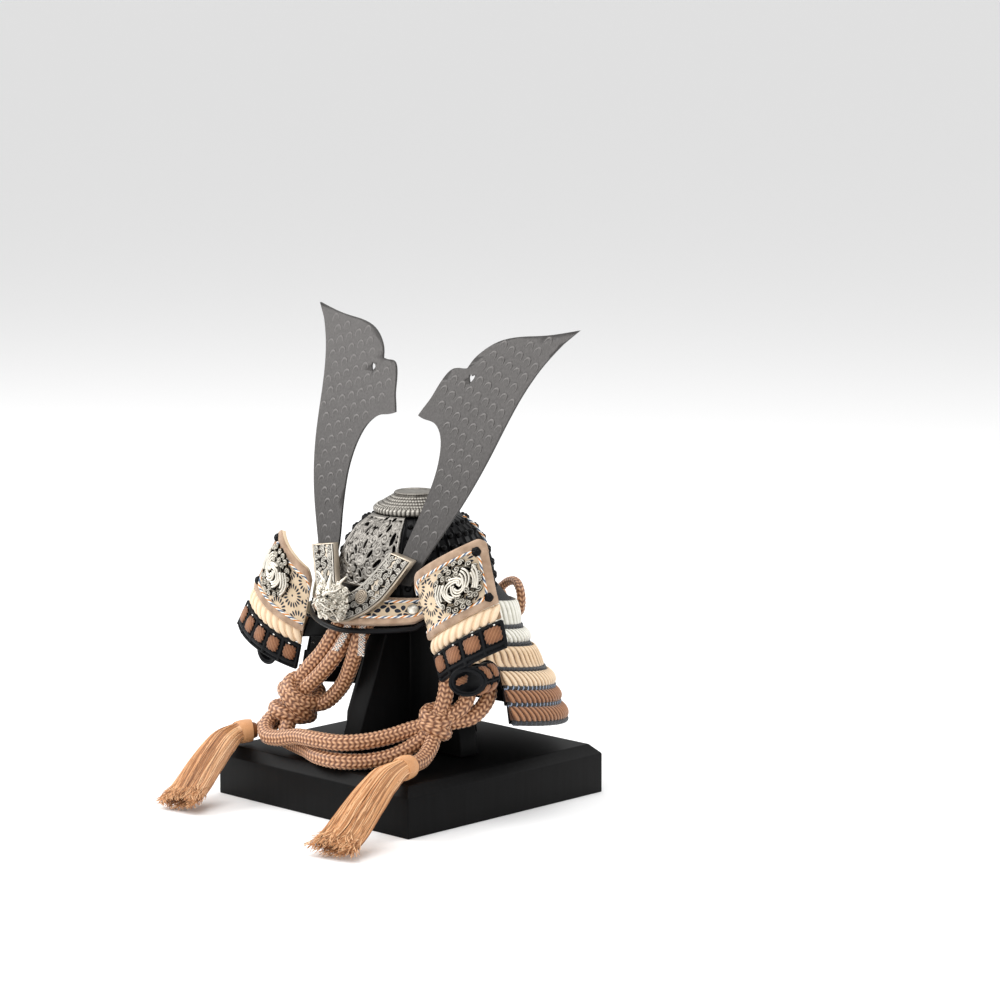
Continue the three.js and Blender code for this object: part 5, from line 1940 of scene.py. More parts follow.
# ---------------------------------------------------------------- beast head
@dataclass
class BeastHead:
    """The small horned beast head on the holder: a chased casting with curls of mane, fangs and whiskers.

    Each lump is its place from the head's middle and its three half sizes. Each curl of the mane is its
    place, its radius, its first angle and its hand. Each bar is its route and its radius at its root.
    Whatever is beside the middle is there twice, once on each side.
    """

    front: float = -57.7
    z: float = 109.5
    lumps: tuple = (
        (0, 4, 1, 7.4, 5.2, 7.2), (0, -1.5, -1.5, 4.6, 5.4, 3.4), (0, -5.4, -0.6, 3.0, 2.2, 2.2),
        (0, -0.5, -6.4, 3.9, 4.6, 2.0), (3.4, -1.4, 3.4, 2.6, 2.0, 1.6), (7.8, 3.2, -2.8, 2.8, 2.4, 3.0),
        (6.2, 3.0, -7, 2.7, 2.4, 2.8), (8.2, 3.6, 3.6, 2.4, 2.0, 2.6), (1.6, -6.4, -0.2, 1.1, 0.9, 0.9),
        (4.6, -0.2, -3.2, 1.8, 2.4, 1.5), (0, -1.8, 3.0, 1.6, 2.0, 2.2),
    )
    curls: tuple = (
        (8.6, 1.6, 4.6, 2.1, 0.4, 1), (9.4, 1.9, -0.2, 2.2, 5.4, -1), (8.6, 1.7, -5.0, 2.2, 0.9, 1),
        (5.8, 1.2, -9.0, 2.0, 4.6, -1), (6.2, 0.6, 7.4, 2.0, 1.8, 1), (2.9, -3.2, 5.2, 1.6, 3.2, -1),
        (5.3, -1.6, -0.8, 1.5, 0.2, 1), (2.1, -3.6, -8.2, 1.3, 3.6, 1),
    )
    bars: tuple = (
        (((1.2, -4.6, 2.6), (3.4, -3.6, 4.4), (6.0, -1.2, 4.8), (8.2, 1.2, 6.6)), 0.8),
        (((2.0, -6.8, -0.8), (4.2, -6.6, -2.2), (6.4, -4.4, -4.0), (7.6, -2.0, -7.2)), 0.42),
        (((5.0, 2.2, 5.4), (6.6, 2.6, 9.0), (9.4, 3.0, 11.6), (11.0, 2.6, 12.6)), 1.1),
        (((2.4, -3.6, -0.6), (2.6, -4.6, -2.6), (2.4, -5.0, -4.6), (2.0, -5.0, -5.6)), 0.7),
        (((0.8, -3.6, -5.2), (2.2, -3.6, -5.0), (3.6, -2.6, -4.6), (4.4, -0.8, -3.4)), 0.6),
    )
    middle_horn: tuple = ((0, 1, 6), (0, 1.4, 9), (0, 2.4, 12.6))
    eye: Triple = (3.2, -3.5, 2.4)
    eye_size: tuple[float, float] = (0.75, 0.6)
    lock_tries: int = 4000
    lock_gap: float = 1.75

    def make(self, finishes: Finishes) -> None:
        """Joins the lumps into one skin, then adds the curls, the fangs and the eyes."""
        skin = self.skin()
        locks = self.locks(skin)
        silver = finishes.bright_silver
        dress(skin, "beast_head_skin", silver, ["dragon_head"], 80)
        dress(locks, "beast_head_locks", silver, (), 60)
        dress(self.mane(), "beast_head_mane", silver, (), 60)
        dress(self.eyes(), "beast_head_eyes", finishes.lacquer, (), 60)

    def skin(self) -> bpy.types.Object:
        """Returns the head's lumps merged, smoothed and mottled, with painted light: faces that look forwards
        are lighter and faces that look back darker.
        """
        deselect_all()
        parts = []
        for x, y, z, rx, ry, rz in self.lumps:
            for side in (1, -1) if x else (1,):
                bpy.ops.mesh.primitive_uv_sphere_add(
                    segments=24,
                    ring_count=16,
                    radius=1,
                    location=Vector((side * x, self.front + y, self.z + z)) * MM,
                    scale=Vector((rx, ry, rz)) * MM,
                )
                parts.append(bpy.context.object)
        for part in parts:
            part.select_set(True)
        bpy.ops.object.join()
        head = bpy.context.object
        bpy.ops.object.transform_apply(location=True, rotation=True, scale=True)
        modifier(head, "REMESH", mode="VOXEL", voxel_size=0.3 * MM)
        modifier(head, "SMOOTH", factor=0.6, iterations=3)
        spots = places(head)
        ways = np.array([vertex.normal for vertex in head.data.vertices])
        # Painted light: the more a face looks forwards, the lighter it is; the sine and cosine add a mottle.
        shade = 0.45 + 0.2 * np.sin(spots[:, 2] * 3.1) * np.cos(spots[:, 0] * 2.7) - 0.25 * ways[:, 1]
        tone(head, np.clip(shade, 0.2, 1))
        return head

    def locks(self, skin: bpy.types.Object) -> bpy.types.Object:
        """Returns the many small chased curls that cover the skin, except on its snout and its brows."""
        dice = random.Random(5)
        spots = places(skin)
        ways = np.array([vertex.normal for vertex in skin.data.vertices])
        line = np.column_stack([curl(0, 0, 1.3, 0, 1.3, 1, 12), np.linspace(0.1, 0.45, 12)])
        scroll = Template(tube_points(line, tapered(12, 0.34, 0.5), 6), tube_faces(12, 6))
        placed: list[np.ndarray] = []
        stock = Stock()
        for _ in range(self.lock_tries):
            k = dice.randrange(len(spots))
            spot, way = spots[k], ways[k]
            away = spot - (0, self.front, self.z)
            free = way[1] < 0.35 and abs(away[0]) + max(-away[1], 0) * 0.2 > 2.4
            if free and all(np.linalg.norm(spot - other) > self.lock_gap for other in placed):
                placed.append(spot)
                mirrored = (1, dice.choice((1, -1)), 1)
                stock.add(scroll.put(spot, way, mirrored, dice.uniform(0, 6.3)), scroll.faces, 0.8)
        locks = stock.make()
        close_skin(locks)
        return locks

    def mane(self) -> bpy.types.Object:
        """Returns the mane's curls, the brows, the whiskers, the horns and the fangs."""
        stock = Stock()
        base = np.array([0.0, self.front, self.z])
        for x, y, z, radius, start, hand in self.curls:
            flat = curl(0, 0, radius, start, 1.35, hand, 40)
            back = y + 0.25 * x - 0.05 * np.arange(40) / 2
            for side in (1, -1):
                line = np.stack([side * (x + flat[:, 0]), back, z + flat[:, 1]], axis=1)
                stock.tube(base + line, tapered(40, 0.62, 0.4), 10, 0.85)
        for route, radius in self.bars:
            for side in (1, -1):
                line = smooth_path(base + np.array(route) * (side, 1, 1), 0.3)
                stock.tube(line, radius * np.linspace(1, 0.3, len(line)), 12, 0.95)
        middle = smooth_path(base + np.array(self.middle_horn), 0.3)
        stock.tube(middle, np.linspace(1.7, 0.4, len(middle)), 14, 0.9)
        return stock.make()

    def eyes(self) -> bpy.types.Object:
        """Returns the two dark eyes."""
        eye = dome(*self.eye_size, 14, 8)
        x, y, z = self.eye
        stock = Stock()
        for side in (1, -1):
            at = np.array([side * x, self.front + y, self.z + z])
            stock.add(eye.put(at, np.array([side * 0.5, -1, 0.3])), eye.faces)
        return stock.make()


# ---------------------------------------------------------------- horns
@dataclass
class Horns:
    """The two tall flat horns: thin satin sheet with stamped rows of fine crescents inside a bare edge.

    The crescents stand on a lattice: beside is the step to the next one, and below the step to the next row.
    """

    beside: tuple[float, float] = (6.25, -2.2)
    below: tuple[float, float] = (-4.6, -5.25)
    scale: float = 2.3
    edge: float = 3.0
    belly: float = 5.3
    belly_foot: float = 124.0
    belly_top: float = 238.0
    first: tuple[float, float] = (50.0, 180.0)
    rows_each_way: int = 24
    sheet_tone: float = 0.24
    # Tones of each mark's outer foot, ridge and inner foot: painted shade at the feet, darker than the sheet,
    # and a painted highlight on the ridge.
    mark_shade_and_highlight: Triple = (0.14, 0.5, 0.2)
    mark_past: float = 0.45
    mark_points: int = 14
    ridge: float = 0.3
    ridge_foot: float = -0.03
    stretch: float = 1.3

    def depth(self, x: np.ndarray, z: np.ndarray) -> np.ndarray:
        """Depth of the front face."""
        up = z - 144.9
        return -23.2 + 0.37 * up + 0.0008 * up * up + 0.05 * (np.abs(x) - 27)

    def make(self, finishes: Finishes) -> None:
        """Draws each horn's outline smooth, and stamps its rows."""
        for name, side in (("left", 1), ("right", -1)):
            sheet = cad_copy(f"horn_{name}")
            self.soften(sheet)
            self.fill_out(sheet, side)
            tone(sheet, self.sheet_tone)
            dress(sheet, f"horn_{name}_sheet", finishes.gunmetal, [f"horn_{name}"], 40)
            stamped = self.stamps(sheet, side)
            dress(stamped, f"horn_{name}_stamped_rows", finishes.gunmetal, (), 60)

    def soften(self, sheet: bpy.types.Object) -> None:
        """Turns the outline's straight stretches into one flowing line, and keeps the sheet's edges crisp."""
        activate(sheet)
        bpy.ops.object.mode_set(mode="EDIT")
        bpy.ops.mesh.select_mode(type="EDGE")
        bpy.ops.mesh.select_all(action="DESELECT")
        bpy.ops.mesh.edges_select_sharp(sharpness=math.radians(48))
        bpy.ops.transform.edge_crease(value=1.0)
        leave_edit()
        modifier(sheet, "SUBSURF", levels=2, render_levels=2)

    def fill_out(self, sheet: bpy.types.Object, side: int) -> None:
        """Lets the outer edge swell sideways in a long curve, and leaves the inner edge in place.

        Args:
            sheet: the horn.
            side: 1 for the left horn and -1 for the right one.
        """
        spots = places(sheet)
        x, z = np.abs(spots[:, 0]), spots[:, 2]
        levels = [level for level in np.arange(z.min(), z.max(), 3.0) if (np.abs(z - level) < 3).any()]
        outer = [x[np.abs(z - level) < 3].max() for level in levels]
        edge = np.polyval(np.polyfit(levels, outer, 5), z)
        share = np.clip((15 - (edge - x)) / 12, 0, 1)
        rise = np.clip((z - self.belly_foot) / (self.belly_top - self.belly_foot), 0, 1)
        spots[:, 0] += side * self.belly * np.sin(math.pi * rise) ** 0.8 * share
        move_to(sheet, spots)

    def stamps(self, sheet: bpy.types.Object, side: int) -> bpy.types.Object:
        """Returns the raised crescents that fit inside the horn, clear of its edge.

        Args:
            sheet: the horn.
            side: 1 for the left horn and -1 for the right one.

        Returns:
            The crescents, as one piece.
        """
        mark = self.mark()
        stock = Stock()
        around_it = [(0, 0), (self.edge, 0), (-self.edge, 0), (0, self.edge), (0, -self.edge)]
        # Each mark carries painted shade at its feet and a painted highlight on its ridge.
        tones = np.tile(self.mark_shade_and_highlight, len(mark.points) // 3)
        steps = range(-self.rows_each_way, self.rows_each_way + 1)
        for j in steps:
            for i in steps:
                x = (self.first[0] + i * self.beside[0] + j * self.below[0]) * side
                z = self.first[1] + i * self.beside[1] + j * self.below[1]
                hits = [self.meet(sheet, x + dx, z + dz) for dx, dz in around_it]
                if all(hit is not None for hit in hits):
                    stock.add(self.lean(mark, *hits[0], side), mark.faces, tones)
        return stock.make()

    def meet(self, sheet: bpy.types.Object, x: float, z: float) -> tuple[np.ndarray, np.ndarray] | None:
        """Finds the front face at a place seen from the front, with its normal, or nothing off the horn."""
        start = Vector((x, float(self.depth(np.array(x), np.array(z))) - 20, z)) * MM
        hit, spot, normal, _ = sheet.ray_cast(start, Vector((0, 1, 0)))
        return (np.array(spot) / MM, np.array(normal)) if hit else None

    def lean(self, mark: Template, spot: np.ndarray, normal: np.ndarray, side: int) -> np.ndarray:
        """Places one mark flat on the horn, its top leaning outwards with the horn."""
        up = np.array([0.36 * side, 0.3, 0.9])
        up -= (up @ normal) * normal
        up /= np.linalg.norm(up)
        return spot + mark.points @ np.stack([np.cross(up, normal), up, normal])

    def mark(self) -> Template:
        """Models one stamped crescent: a low ridge along an arc, steep outside and long inside."""
        past, foot = self.mark_past, self.ridge_foot
        rows = []
        for t in np.linspace(-past, math.pi + past, self.mark_points):
            share = min(max((t + past) / (math.pi + 2 * past), 0.04), 0.96)
            thin = math.sin(share * math.pi) ** 0.5
            for reach, height in ((0.2, foot), (-0.1, self.ridge * thin), (-1.2 * thin, foot)):
                reach += self.scale
                rows.append((reach * math.cos(t), reach * math.sin(t) * self.stretch, height))
        faces = []
        for a in range(0, 3 * self.mark_points - 3, 3):
            faces += [[a, a + 3, a + 4, a + 1], [a + 1, a + 4, a + 5, a + 2]]
        return Template(np.array(rows), faces)


# ---------------------------------------------------------------- turn-backs
@dataclass
class TurnBack:
    """One turn-back at a cheek: a printed leather panel with an openwork roundel, over a laced lame.

    Fold and free are the top and foot of the two upright edges of its chord. Places across it run from 0 at
    the fold to 1 at the free edge, and measures down it run from its top, in millimetres.
    """

    name: str
    fold: tuple[Triple, Triple]
    free: tuple[Triple, Triple]
    medallion: tuple[float, float]
    studs: tuple[tuple[float, float], tuple[float, float]]
    panel_from: float
    curl_drop: float
    seed: int
    turn: float = 82.0
    leather: float = 2.0
    panel: float = 33.5
    lace_from: float = 33.9
    lace_to: float = 41.0
    grid_to: float = 52.4
    pads: int = 4
    lame_to: float = 55.5
    curl_at: Triple = (74, -33, 74.2)
    curl_radius: float = 6.8
    curl_length: float = 15.0
    mouth_slant: float = 0.0
    round_radius: float = 12.2
    round_width: float = 44.0
    width: float = 46.0
    border: float = 4.6
    corner: float = 3.0
    top_drop: tuple[float, float] = (5.0, 3.4)
    print_step: tuple[float, float] = (14.6, 11.4)
    rope_turns: int = 10
    rope_strands: int = 7
    bar_off: float = 1.5
    tube_bars: tuple = ((0.6, 0.75), (7.4, 0.6), (14.2, 0.6))
    tube_posts: tuple[float, ...] = (0.04, 0.27, 0.5, 0.73)

    def point(self, across: np.ndarray, down: np.ndarray, off: np.ndarray) -> np.ndarray:
        """Places on the bowed face.

        Args:
            across: how far across, from 0 to 1.
            down: how far down from the top edge.
            off: height off the face.

        Returns:
            The places.
        """
        across, down, off = np.broadcast_arrays(np.asarray(across, float), down, off)
        t = (down / self.lame_to)[..., None]
        fold_top, fold_foot, free_top, free_foot = (np.array(end) for end in (*self.fold, *self.free))
        fold = fold_top * (1 - t) + fold_foot * t
        free = free_top * (1 - t) + free_foot * t
        way = free - fold
        chord = np.linalg.norm(way, axis=-1, keepdims=True)
        way = way / chord
        out = np.cross(way, fold_foot - fold_top + free_foot - free_top)
        out = out / np.linalg.norm(out, axis=-1, keepdims=True)
        out = np.where(out[..., 1:2] > 0, -out, out)
        half = math.radians(self.turn / 2)
        radius = chord / (2 * math.sin(half))
        angle = (-half + 2 * half * across)[..., None]
        reach = radius + off[..., None]
        along = way * (chord / 2 + reach * np.sin(angle))
        return fold + along + out * (reach * np.cos(angle) - radius * math.cos(half))

    def across(self, s: np.ndarray) -> np.ndarray:
        """Turns 0 to 1 over the panel into 0 to 1 over the whole face."""
        return self.panel_from + (1 - self.panel_from) * np.asarray(s, float)

    def top(self, s: np.ndarray) -> np.ndarray:
        """How far the panel's top edge has dropped at a place across, at its round corners."""
        near = np.clip(0.12 - s, 0, None) / 0.12
        far = np.clip(s - 0.9, 0, None) / 0.1
        return self.top_drop[0] * near**2 + self.top_drop[1] * far**2

    def flat(self, x: np.ndarray, y: np.ndarray, lift: np.ndarray) -> np.ndarray:
        """Places on the leather by millimetres across from the fold and down from the top."""
        return self.point(self.across(np.asarray(x) / self.width), y, np.asarray(lift) + self.leather)

    def normal(self, s: float, down: float) -> np.ndarray:
        """Which way the face looks at a place."""
        way = self.point(s, down, 6.0) - self.point(s, down, 0.0)
        return way / np.linalg.norm(way)

    def make(self, finishes: Finishes) -> None:
        """Makes every piece of this side."""
        self.leather_panel(finishes)
        self.edging(finishes)
        self.ink(finishes)
        self.roundel(finishes)
        self.dome_studs(finishes)
        self.lacing(finishes)
        self.lame(finishes)
        self.curl_tube(finishes)

    def leather_panel(self, finishes: Finishes) -> None:
        """Bends the panel, with soft rolled edges."""

        def sheet(u: np.ndarray, v: np.ndarray, h: np.ndarray) -> np.ndarray:
            """Places on the leather's face."""
            top = self.top(u)
            return self.point(self.across(u), top + (self.panel - top) * (1 - v), self.leather + h)

        panel = bent_sheet(96, 60, sheet, self.leather, 0.5)
        node = f"turnback_{self.name}"
        dress(panel, node + "_leather", finishes.leather, [node], 50)

    def edging(self, finishes: Finishes) -> None:
        """Lays the padded suede border along the top, the free edge and the foot, with piping inside it."""
        w, p, b, corner = self.width, self.panel, self.border, self.corner

        def top(u: np.ndarray, v: np.ndarray, h: np.ndarray) -> np.ndarray:
            """Places on the strip along the top edge and its round corners."""
            return self.pad(w * u, self.top(w * u / w) + b * (1 - v), v, 0.04)

        def free_edge(u: np.ndarray, v: np.ndarray, h: np.ndarray) -> np.ndarray:
            """Places on the strip along the free edge."""
            return self.pad(w - b * v, corner + (p - corner) * (1 - u), v, 0.0)

        def foot(u: np.ndarray, v: np.ndarray, h: np.ndarray) -> np.ndarray:
            """Places on the strip along the foot."""
            return self.pad(w * (1 - u), p - b * 0.9 * v, v, 0.08)

        for name, faces, surface in (("top", 130, top), ("free_edge", 110, free_edge), ("foot", 110, foot)):
            piece = bent_sheet(faces, 10, surface, 0.5)
            dress(piece, f"turnback_{self.name}_suede_{name}", finishes.suede, (), 60)
        side = w - b - 0.1
        route = [(0.4, self.top(np.array(0.0)) + b + 0.3)]
        over_top = (2, 5, 10, 18, 26, 34, w - b - corner - 1.5)
        route += [(x, float(self.top(np.array(x / w))) + b + 0.1) for x in over_top]
        route += [(w - b - 1.2, b + 1.6), (side, b + corner + 1.6), (side, 14), (side, 20), (side, p - b - 3)]
        route += [(w - b - 1.2, p - b - 0.6), (w - b - 4, p - b + 0.4)]
        route += [(x, p - b + 0.4) for x in (30, 20, 10, 0.5)]
        flat = smooth_path([(x, y, 0) for x, y in route], 0.3)
        line = self.flat(flat[:, 0], flat[:, 1], np.full(len(flat), 0.42))
        Piping().make(line, f"turnback_{self.name}_piping", finishes)

    def pad(self, x: np.ndarray, y: np.ndarray, v: np.ndarray, extra: float) -> np.ndarray:
        """Places on a padded strip: highest along its middle."""
        swell = 0.15 + 0.85 * np.sqrt(np.clip(1 - (2 * v - 1) ** 2, 0, 1))
        return self.flat(x, y, swell + extra)

    def ink(self, finishes: Finishes) -> None:
        """Prints chrysanthemums in offset rows over the field, with small diamonds between them."""
        b = self.border
        step, row = self.print_step
        field = (0.5, self.width - b - 0.9, b + 0.9, self.panel - b - 0.4)

        def inside(spots: np.ndarray) -> np.ndarray:
            """Tells which flat places are below the border's strip."""
            return spots[:, 1] > b + 0.7 + self.top(spots[:, 0] / self.width)

        ink = Print(self.flat, field, inside)
        stock = Stock()
        flower = Flower()
        for j in range(-1, 5):
            for i in range(-1, 6):
                x = (i + 0.5 * (j % 2)) * step + 3.4
                y = b + 2.4 + j * row
                for shape in (*flower.shapes(x, y), diamond(x + step / 2, y, 0.95, 1.4)):
                    ink.add_to(stock, shape)
        dress(stock.make(), f"turnback_{self.name}_print", finishes.ink)

    def roundel(self, finishes: Finishes) -> None:
        """Makes the openwork roundel: scrolls, leaves and a raised boss inside a beaded ring."""
        u, v, faces = grid(190, 190)
        x, y = (2 * u - 1) * 13, (2 * v - 1) * 13
        reach = np.hypot(x, y)
        spots = np.stack([x, y], axis=1)
        scroll = rounded(distance_to(spots, self.scrolls()), 0.42)
        band = rounded(distance_to(spots, self.bands()), 0.62)
        fine = rounded(distance_to(spots, self.tendrils()), 0.4)
        relief = np.maximum.reduce([scroll * 0.7, band, fine * 0.45])
        solid = (relief > 0.2, reach < self.round_radius + 0.5)
        kept = [face for face in faces if solid[0][face].any() and solid[1][face].all()]
        dish = 1.6 * np.sqrt(np.clip(1 - (reach / (self.round_radius + 0.4)) ** 2, 0, 1))
        place = self.in_roundel(x, y, 1.0 + dish + 1.5 * relief)
        behind = self.in_roundel(x, y, 0.4 + dish)
        stock = Stock()
        with_walls(stock, place, behind, kept, relief)
        piece = stock.make()
        face_outwards(piece, self.point(*self.medallion, 60.0))
        name = f"turnback_medallion_{self.name}"
        dress(piece, f"roundel_{self.name}_openwork", finishes.bright_silver, [name], 80)
        self.roundel_back(finishes)

    def in_roundel(self, x: np.ndarray, y: np.ndarray, off: np.ndarray | float) -> np.ndarray:
        """Places by millimetres across and down from the roundel's middle, and off the leather."""
        across, down = self.medallion
        return self.point(across + x / self.round_width, down + y, self.leather + off)

    def bands(self) -> list[np.ndarray]:
        """Returns the bright strands that flow through the roundel: two arms of three that wind in."""
        lines = []
        for arm in (0.0, math.pi):
            for k in range(3):
                t = np.linspace(0, 1, 60)
                turn = t * 2.35 * math.pi
                start = self.round_radius - 1.0 - 1.35 * k
                reach = start - 3.95 * turn / math.pi + 0.45 * np.sin(2.6 * turn + k + arm)
                angle = 2.4 + arm + turn + 0.12 * k
                keep = (reach > 0.9) & ~self.crowded(reach, angle)
                line = polar(reach, angle)
                runs = np.split(np.arange(len(t)), np.where(~keep)[0])
                lines += [line[run[1:]] for run in runs if len(run) > 5]
        return lines

    def crowded(self, reach: np.ndarray, angle: np.ndarray) -> np.ndarray:
        """Tells the two parts of the roundel that small scrolls fill, towards the top and the foot."""
        up = np.sin(angle)
        return (reach > 5.0) & (np.abs(up + 0.25 * np.cos(angle)) > 0.72)

    def scrolls(self) -> list[np.ndarray]:
        """Returns the small scrolls that fill the roundel between the strands."""
        dice = random.Random(self.seed)
        lines = []
        for ring, count in ((10.7, 19), (8.0, 14), (5.6, 9)):
            for i in range(count):
                turn = (i + 0.3 * dice.random()) / count * 2 * math.pi + ring
                size, start, hand = dice.uniform(1.3, 1.6), dice.uniform(0, 6.3), dice.choice((1, -1))
                if ring > 10 or self.crowded(np.array(ring + 0.4), np.array(turn)):
                    lines.append(curl(*polar(ring, turn), size, start, 1.35, hand))
        return lines

    def tendrils(self) -> list[np.ndarray]:
        """Returns thin stems that tie the scrolls to one another."""
        dice = random.Random(self.seed + 50)
        lines = []
        for _ in range(34):
            turn, reach = dice.uniform(0, 6.3), dice.uniform(2.0, 9.5)
            t = np.linspace(0, 1, 10)
            angle = turn + t * dice.uniform(0.3, 0.9)
            out = reach + t * dice.uniform(0.5, 2.4)
            lines.append(polar(out, angle))
        return lines

    def roundel_back(self, finishes: Finishes) -> None:
        """Puts dark struts behind the openwork: two thin rings and three spokes."""
        stock = Stock()
        for radius in (10.4, 5.2):
            x, y = polar(radius, full_turn(64)).T
            stock.tube(self.in_roundel(x, y, 1.1), 0.5, 8, 0.1, closed=True)
        reach = np.linspace(-10.8, 10.8, 30)
        for turn in (0.4, 2.5, 4.6):
            spoke = self.in_roundel(reach * math.cos(turn), reach * math.sin(turn), 1.1)
            stock.tube(spoke, 0.45, 8, 0.1)
        dress(stock.make(), f"roundel_{self.name}_struts", finishes.silver, (), 60)

    def dome_studs(self, finishes: Finishes) -> None:
        """Stands the two black studs on the border, each a dome pressed into five lobes."""
        cap = dome(2.5, 1.9, 30, 16)
        turn = np.arctan2(cap.points[:, 1], cap.points[:, 0])
        lobes = 1 - 0.13 * (0.5 - 0.5 * np.cos(5 * turn)) * (cap.points[:, 2] > 0.05)
        lobed = Template(cap.points * lobes[:, None], cap.faces)
        for row, (across, down) in zip(("upper", "lower"), self.studs):
            seat = self.point(across, down, self.leather + 0.6)
            stock = Stock()
            stock.add(lobed.put(seat, self.normal(across, down)), lobed.faces)
            node = f"turnback_stud_{row}_{self.name}"
            dress(stock.make(), node + "_dome", finishes.lacquer, [node], 60)

    def lacing(self, finishes: Finishes) -> None:
        """Lays the fat rope: its turns are each a bundle of fine slanting strands."""
        stock = Stock()
        middle = (self.lace_from + self.lace_to) / 2
        half = (self.lace_to - self.lace_from) / 2 - 0.6
        t = np.linspace(0, 1, 14)
        arch = np.sin(math.pi * t) ** 0.6
        for i in range(self.rope_turns):
            for k in range(self.rope_strands):
                share = (k + 0.5) / self.rope_strands
                hump = math.sin(math.pi * share) ** 0.5
                s = np.clip((i + share * 0.92) / self.rope_turns + (0.5 - t) * 0.1, 0, 1)
                down = middle + (2 * t - 1) * half + 1.9 * hump * t - 0.9
                line = self.point(self.across(s), down, 0.5 + (1.1 + 1.2 * hump) * arch)
                # Strands in the middle of each turn are lighter and those at its sides darker: painted
                # highlight and painted shade; every other strand is a little darker as well.
                stock.tube(line, tapered(14, 0.42, 0.6), 7, 0.38 + 0.5 * hump - 0.07 * (k % 2))
        self.painted_shade_backing(stock, self.lace_from + 0.4, self.lace_to - 0.4, 1.3)
        name = f"turnback_lacing_{self.name}"
        dress(stock.make(), name + "_rope", finishes.cream_silk, [name], 60)

    def painted_shade_backing(self, stock: Stock, start: float, stop: float, high: float) -> None:
        """Adds a dark sheet under a row of strands: painted shade in the gaps between them.

        Args:
            stock: where it goes.
            start: how far down it starts.
            stop: how far down it ends.
            high: how far it stands off the face.
        """
        s = self.across(np.linspace(0, 1, 50))
        corners = ((start, 0.0), (start, high), (stop, high), (stop, 0.0))
        rows = [self.point(s, down, off) for down, off in corners]
        stock.add(np.stack(rows, axis=1).reshape(-1, 3), tube_faces(50, 4), 0.15)

    def lame(self, finishes: Finishes) -> None:
        """Makes the lacquered lame, its raised grid, the woven blocks and the white stitches."""
        start, stop, count = self.lace_to, self.lame_to, self.pads

        def sheet(u: np.ndarray, v: np.ndarray, h: np.ndarray) -> np.ndarray:
            """Places on the lame's face."""
            return self.point(self.across(u), start + 0.3 + (stop - start - 0.3) * (1 - v), 1.4 + h)

        plate = bent_sheet(90, 20, sheet, 1.4, 0.3)
        name = f"turnback_lame_{self.name}"
        dress(plate, name + "_plate", finishes.cloth, [name], 50)
        bars, blocks, stitches = Stock(), Stock(), Stock()
        s = np.linspace(self.panel_from + 0.005, 0.995, 80)
        for down, radius in ((start + 1.3, 1.0), (self.grid_to, 1.15), (stop - 0.7, 0.6)):
            bars.tube(self.point(s, down, self.bar_off), radius, 8)
        for i in range(count + 1):
            edge = self.across(min(max(i / count, 0.012), 0.988))
            bars.tube(self.point(edge, np.linspace(start + 0.8, stop - 0.8, 12), self.bar_off), 1.2, 8)
        pitch, middle = self.width / count, (start + self.grid_to) / 2 + 0.4
        for i in range(count):
            self.block(blocks, self.face, pitch * (i + 0.5), middle, pitch / 2 - 1.3)
            s = self.across((i + 0.62) / count)
            line = self.point(np.linspace(s - 0.012, s + 0.012, 6), start + 1.6, 2.2)
            stitches.tube(line, tapered(6, 0.42, 0.5), 6)
        dress(bars.make(), name + "_grid", finishes.cloth, (), 60)
        dress(blocks.make(), name + "_blocks", finishes.brown_silk, (), 60)
        dress(stitches.make(), name + "_stitches", finishes.white_silk, (), 60)

    def face(self, x: np.ndarray, down: np.ndarray, off: np.ndarray) -> np.ndarray:
        """Places on the face by millimetres across from the fold, down from the top and off it."""
        return self.point(self.across(np.asarray(x) / self.width), down, off)

    def block(
        self,
        stock: Stock,
        surface: Surface,
        x: float,
        y: float,
        wide: float,
        high: float = 4.0,
        swell: float = 1.9,
    ) -> None:
        """Adds one raised pad of woven silk: slanting strands that swell outwards and end in steps.

        Args:
            stock: where it goes.
            surface: takes millimetres across, down and off, and gives places.
            x: its middle across.
            y: its middle down.
            wide: half its width.
            high: half its height.
            swell: how far its middle stands up.
        """
        across, rise = 0.62, 0.78
        tries = np.linspace(-9, 9, 91)
        for k in range(-8, 9):
            foot = 0.76 * k * np.array([rise, across])
            dx, dy = foot[0] + across * tries, foot[1] - rise * tries
            kept = tries[np.abs(dx / wide) ** 3.5 + np.abs(dy / high) ** 3.5 < 1]
            if len(kept) < 6:
                continue
            t = np.linspace(kept[0] + 0.4 * (k % 2), kept[-1] - 0.4 * (k % 2), 11)
            dx, dy = foot[0] + across * t, foot[1] - rise * t
            crown = np.clip(1 - (dx / (wide + 0.5)) ** 2, 0, 1) * np.clip(1 - (dy / (high + 0.5)) ** 2, 0, 1)
            line = surface(x + dx, y + dy, 1.3 + swell * crown**0.4)
            # Lighter where the pad swells highest and darker towards its edges: painted highlight and painted
            # shade; every other strand is a little darker.
            tones = 0.15 + 0.6 * np.repeat(crown**0.5, 7) - 0.16 * (k % 2)
            stock.tube(line, tapered(11, 0.5, 0.5), 7, tones)

    def curl_place(self, along: np.ndarray, round_it: np.ndarray, off: np.ndarray) -> np.ndarray:
        """Places on the rolled tube.

        Args:
            along: how far along it from its mouth.
            round_it: how far round it from its top outwards.
            off: height off its outside.

        Returns:
            The places.
        """
        along, round_it, off = np.broadcast_arrays(np.asarray(along, float), round_it, off)
        sign, start, way = self.curl_axis()
        angle = round_it / self.curl_radius
        along = along + self.mouth_slant * np.sin(angle) * (1 - along / self.curl_length)
        out = np.stack([sign * np.sin(angle), 0 * angle, np.cos(angle)], axis=-1)
        return start + way * along[..., None] + out * (self.curl_radius + off)[..., None]

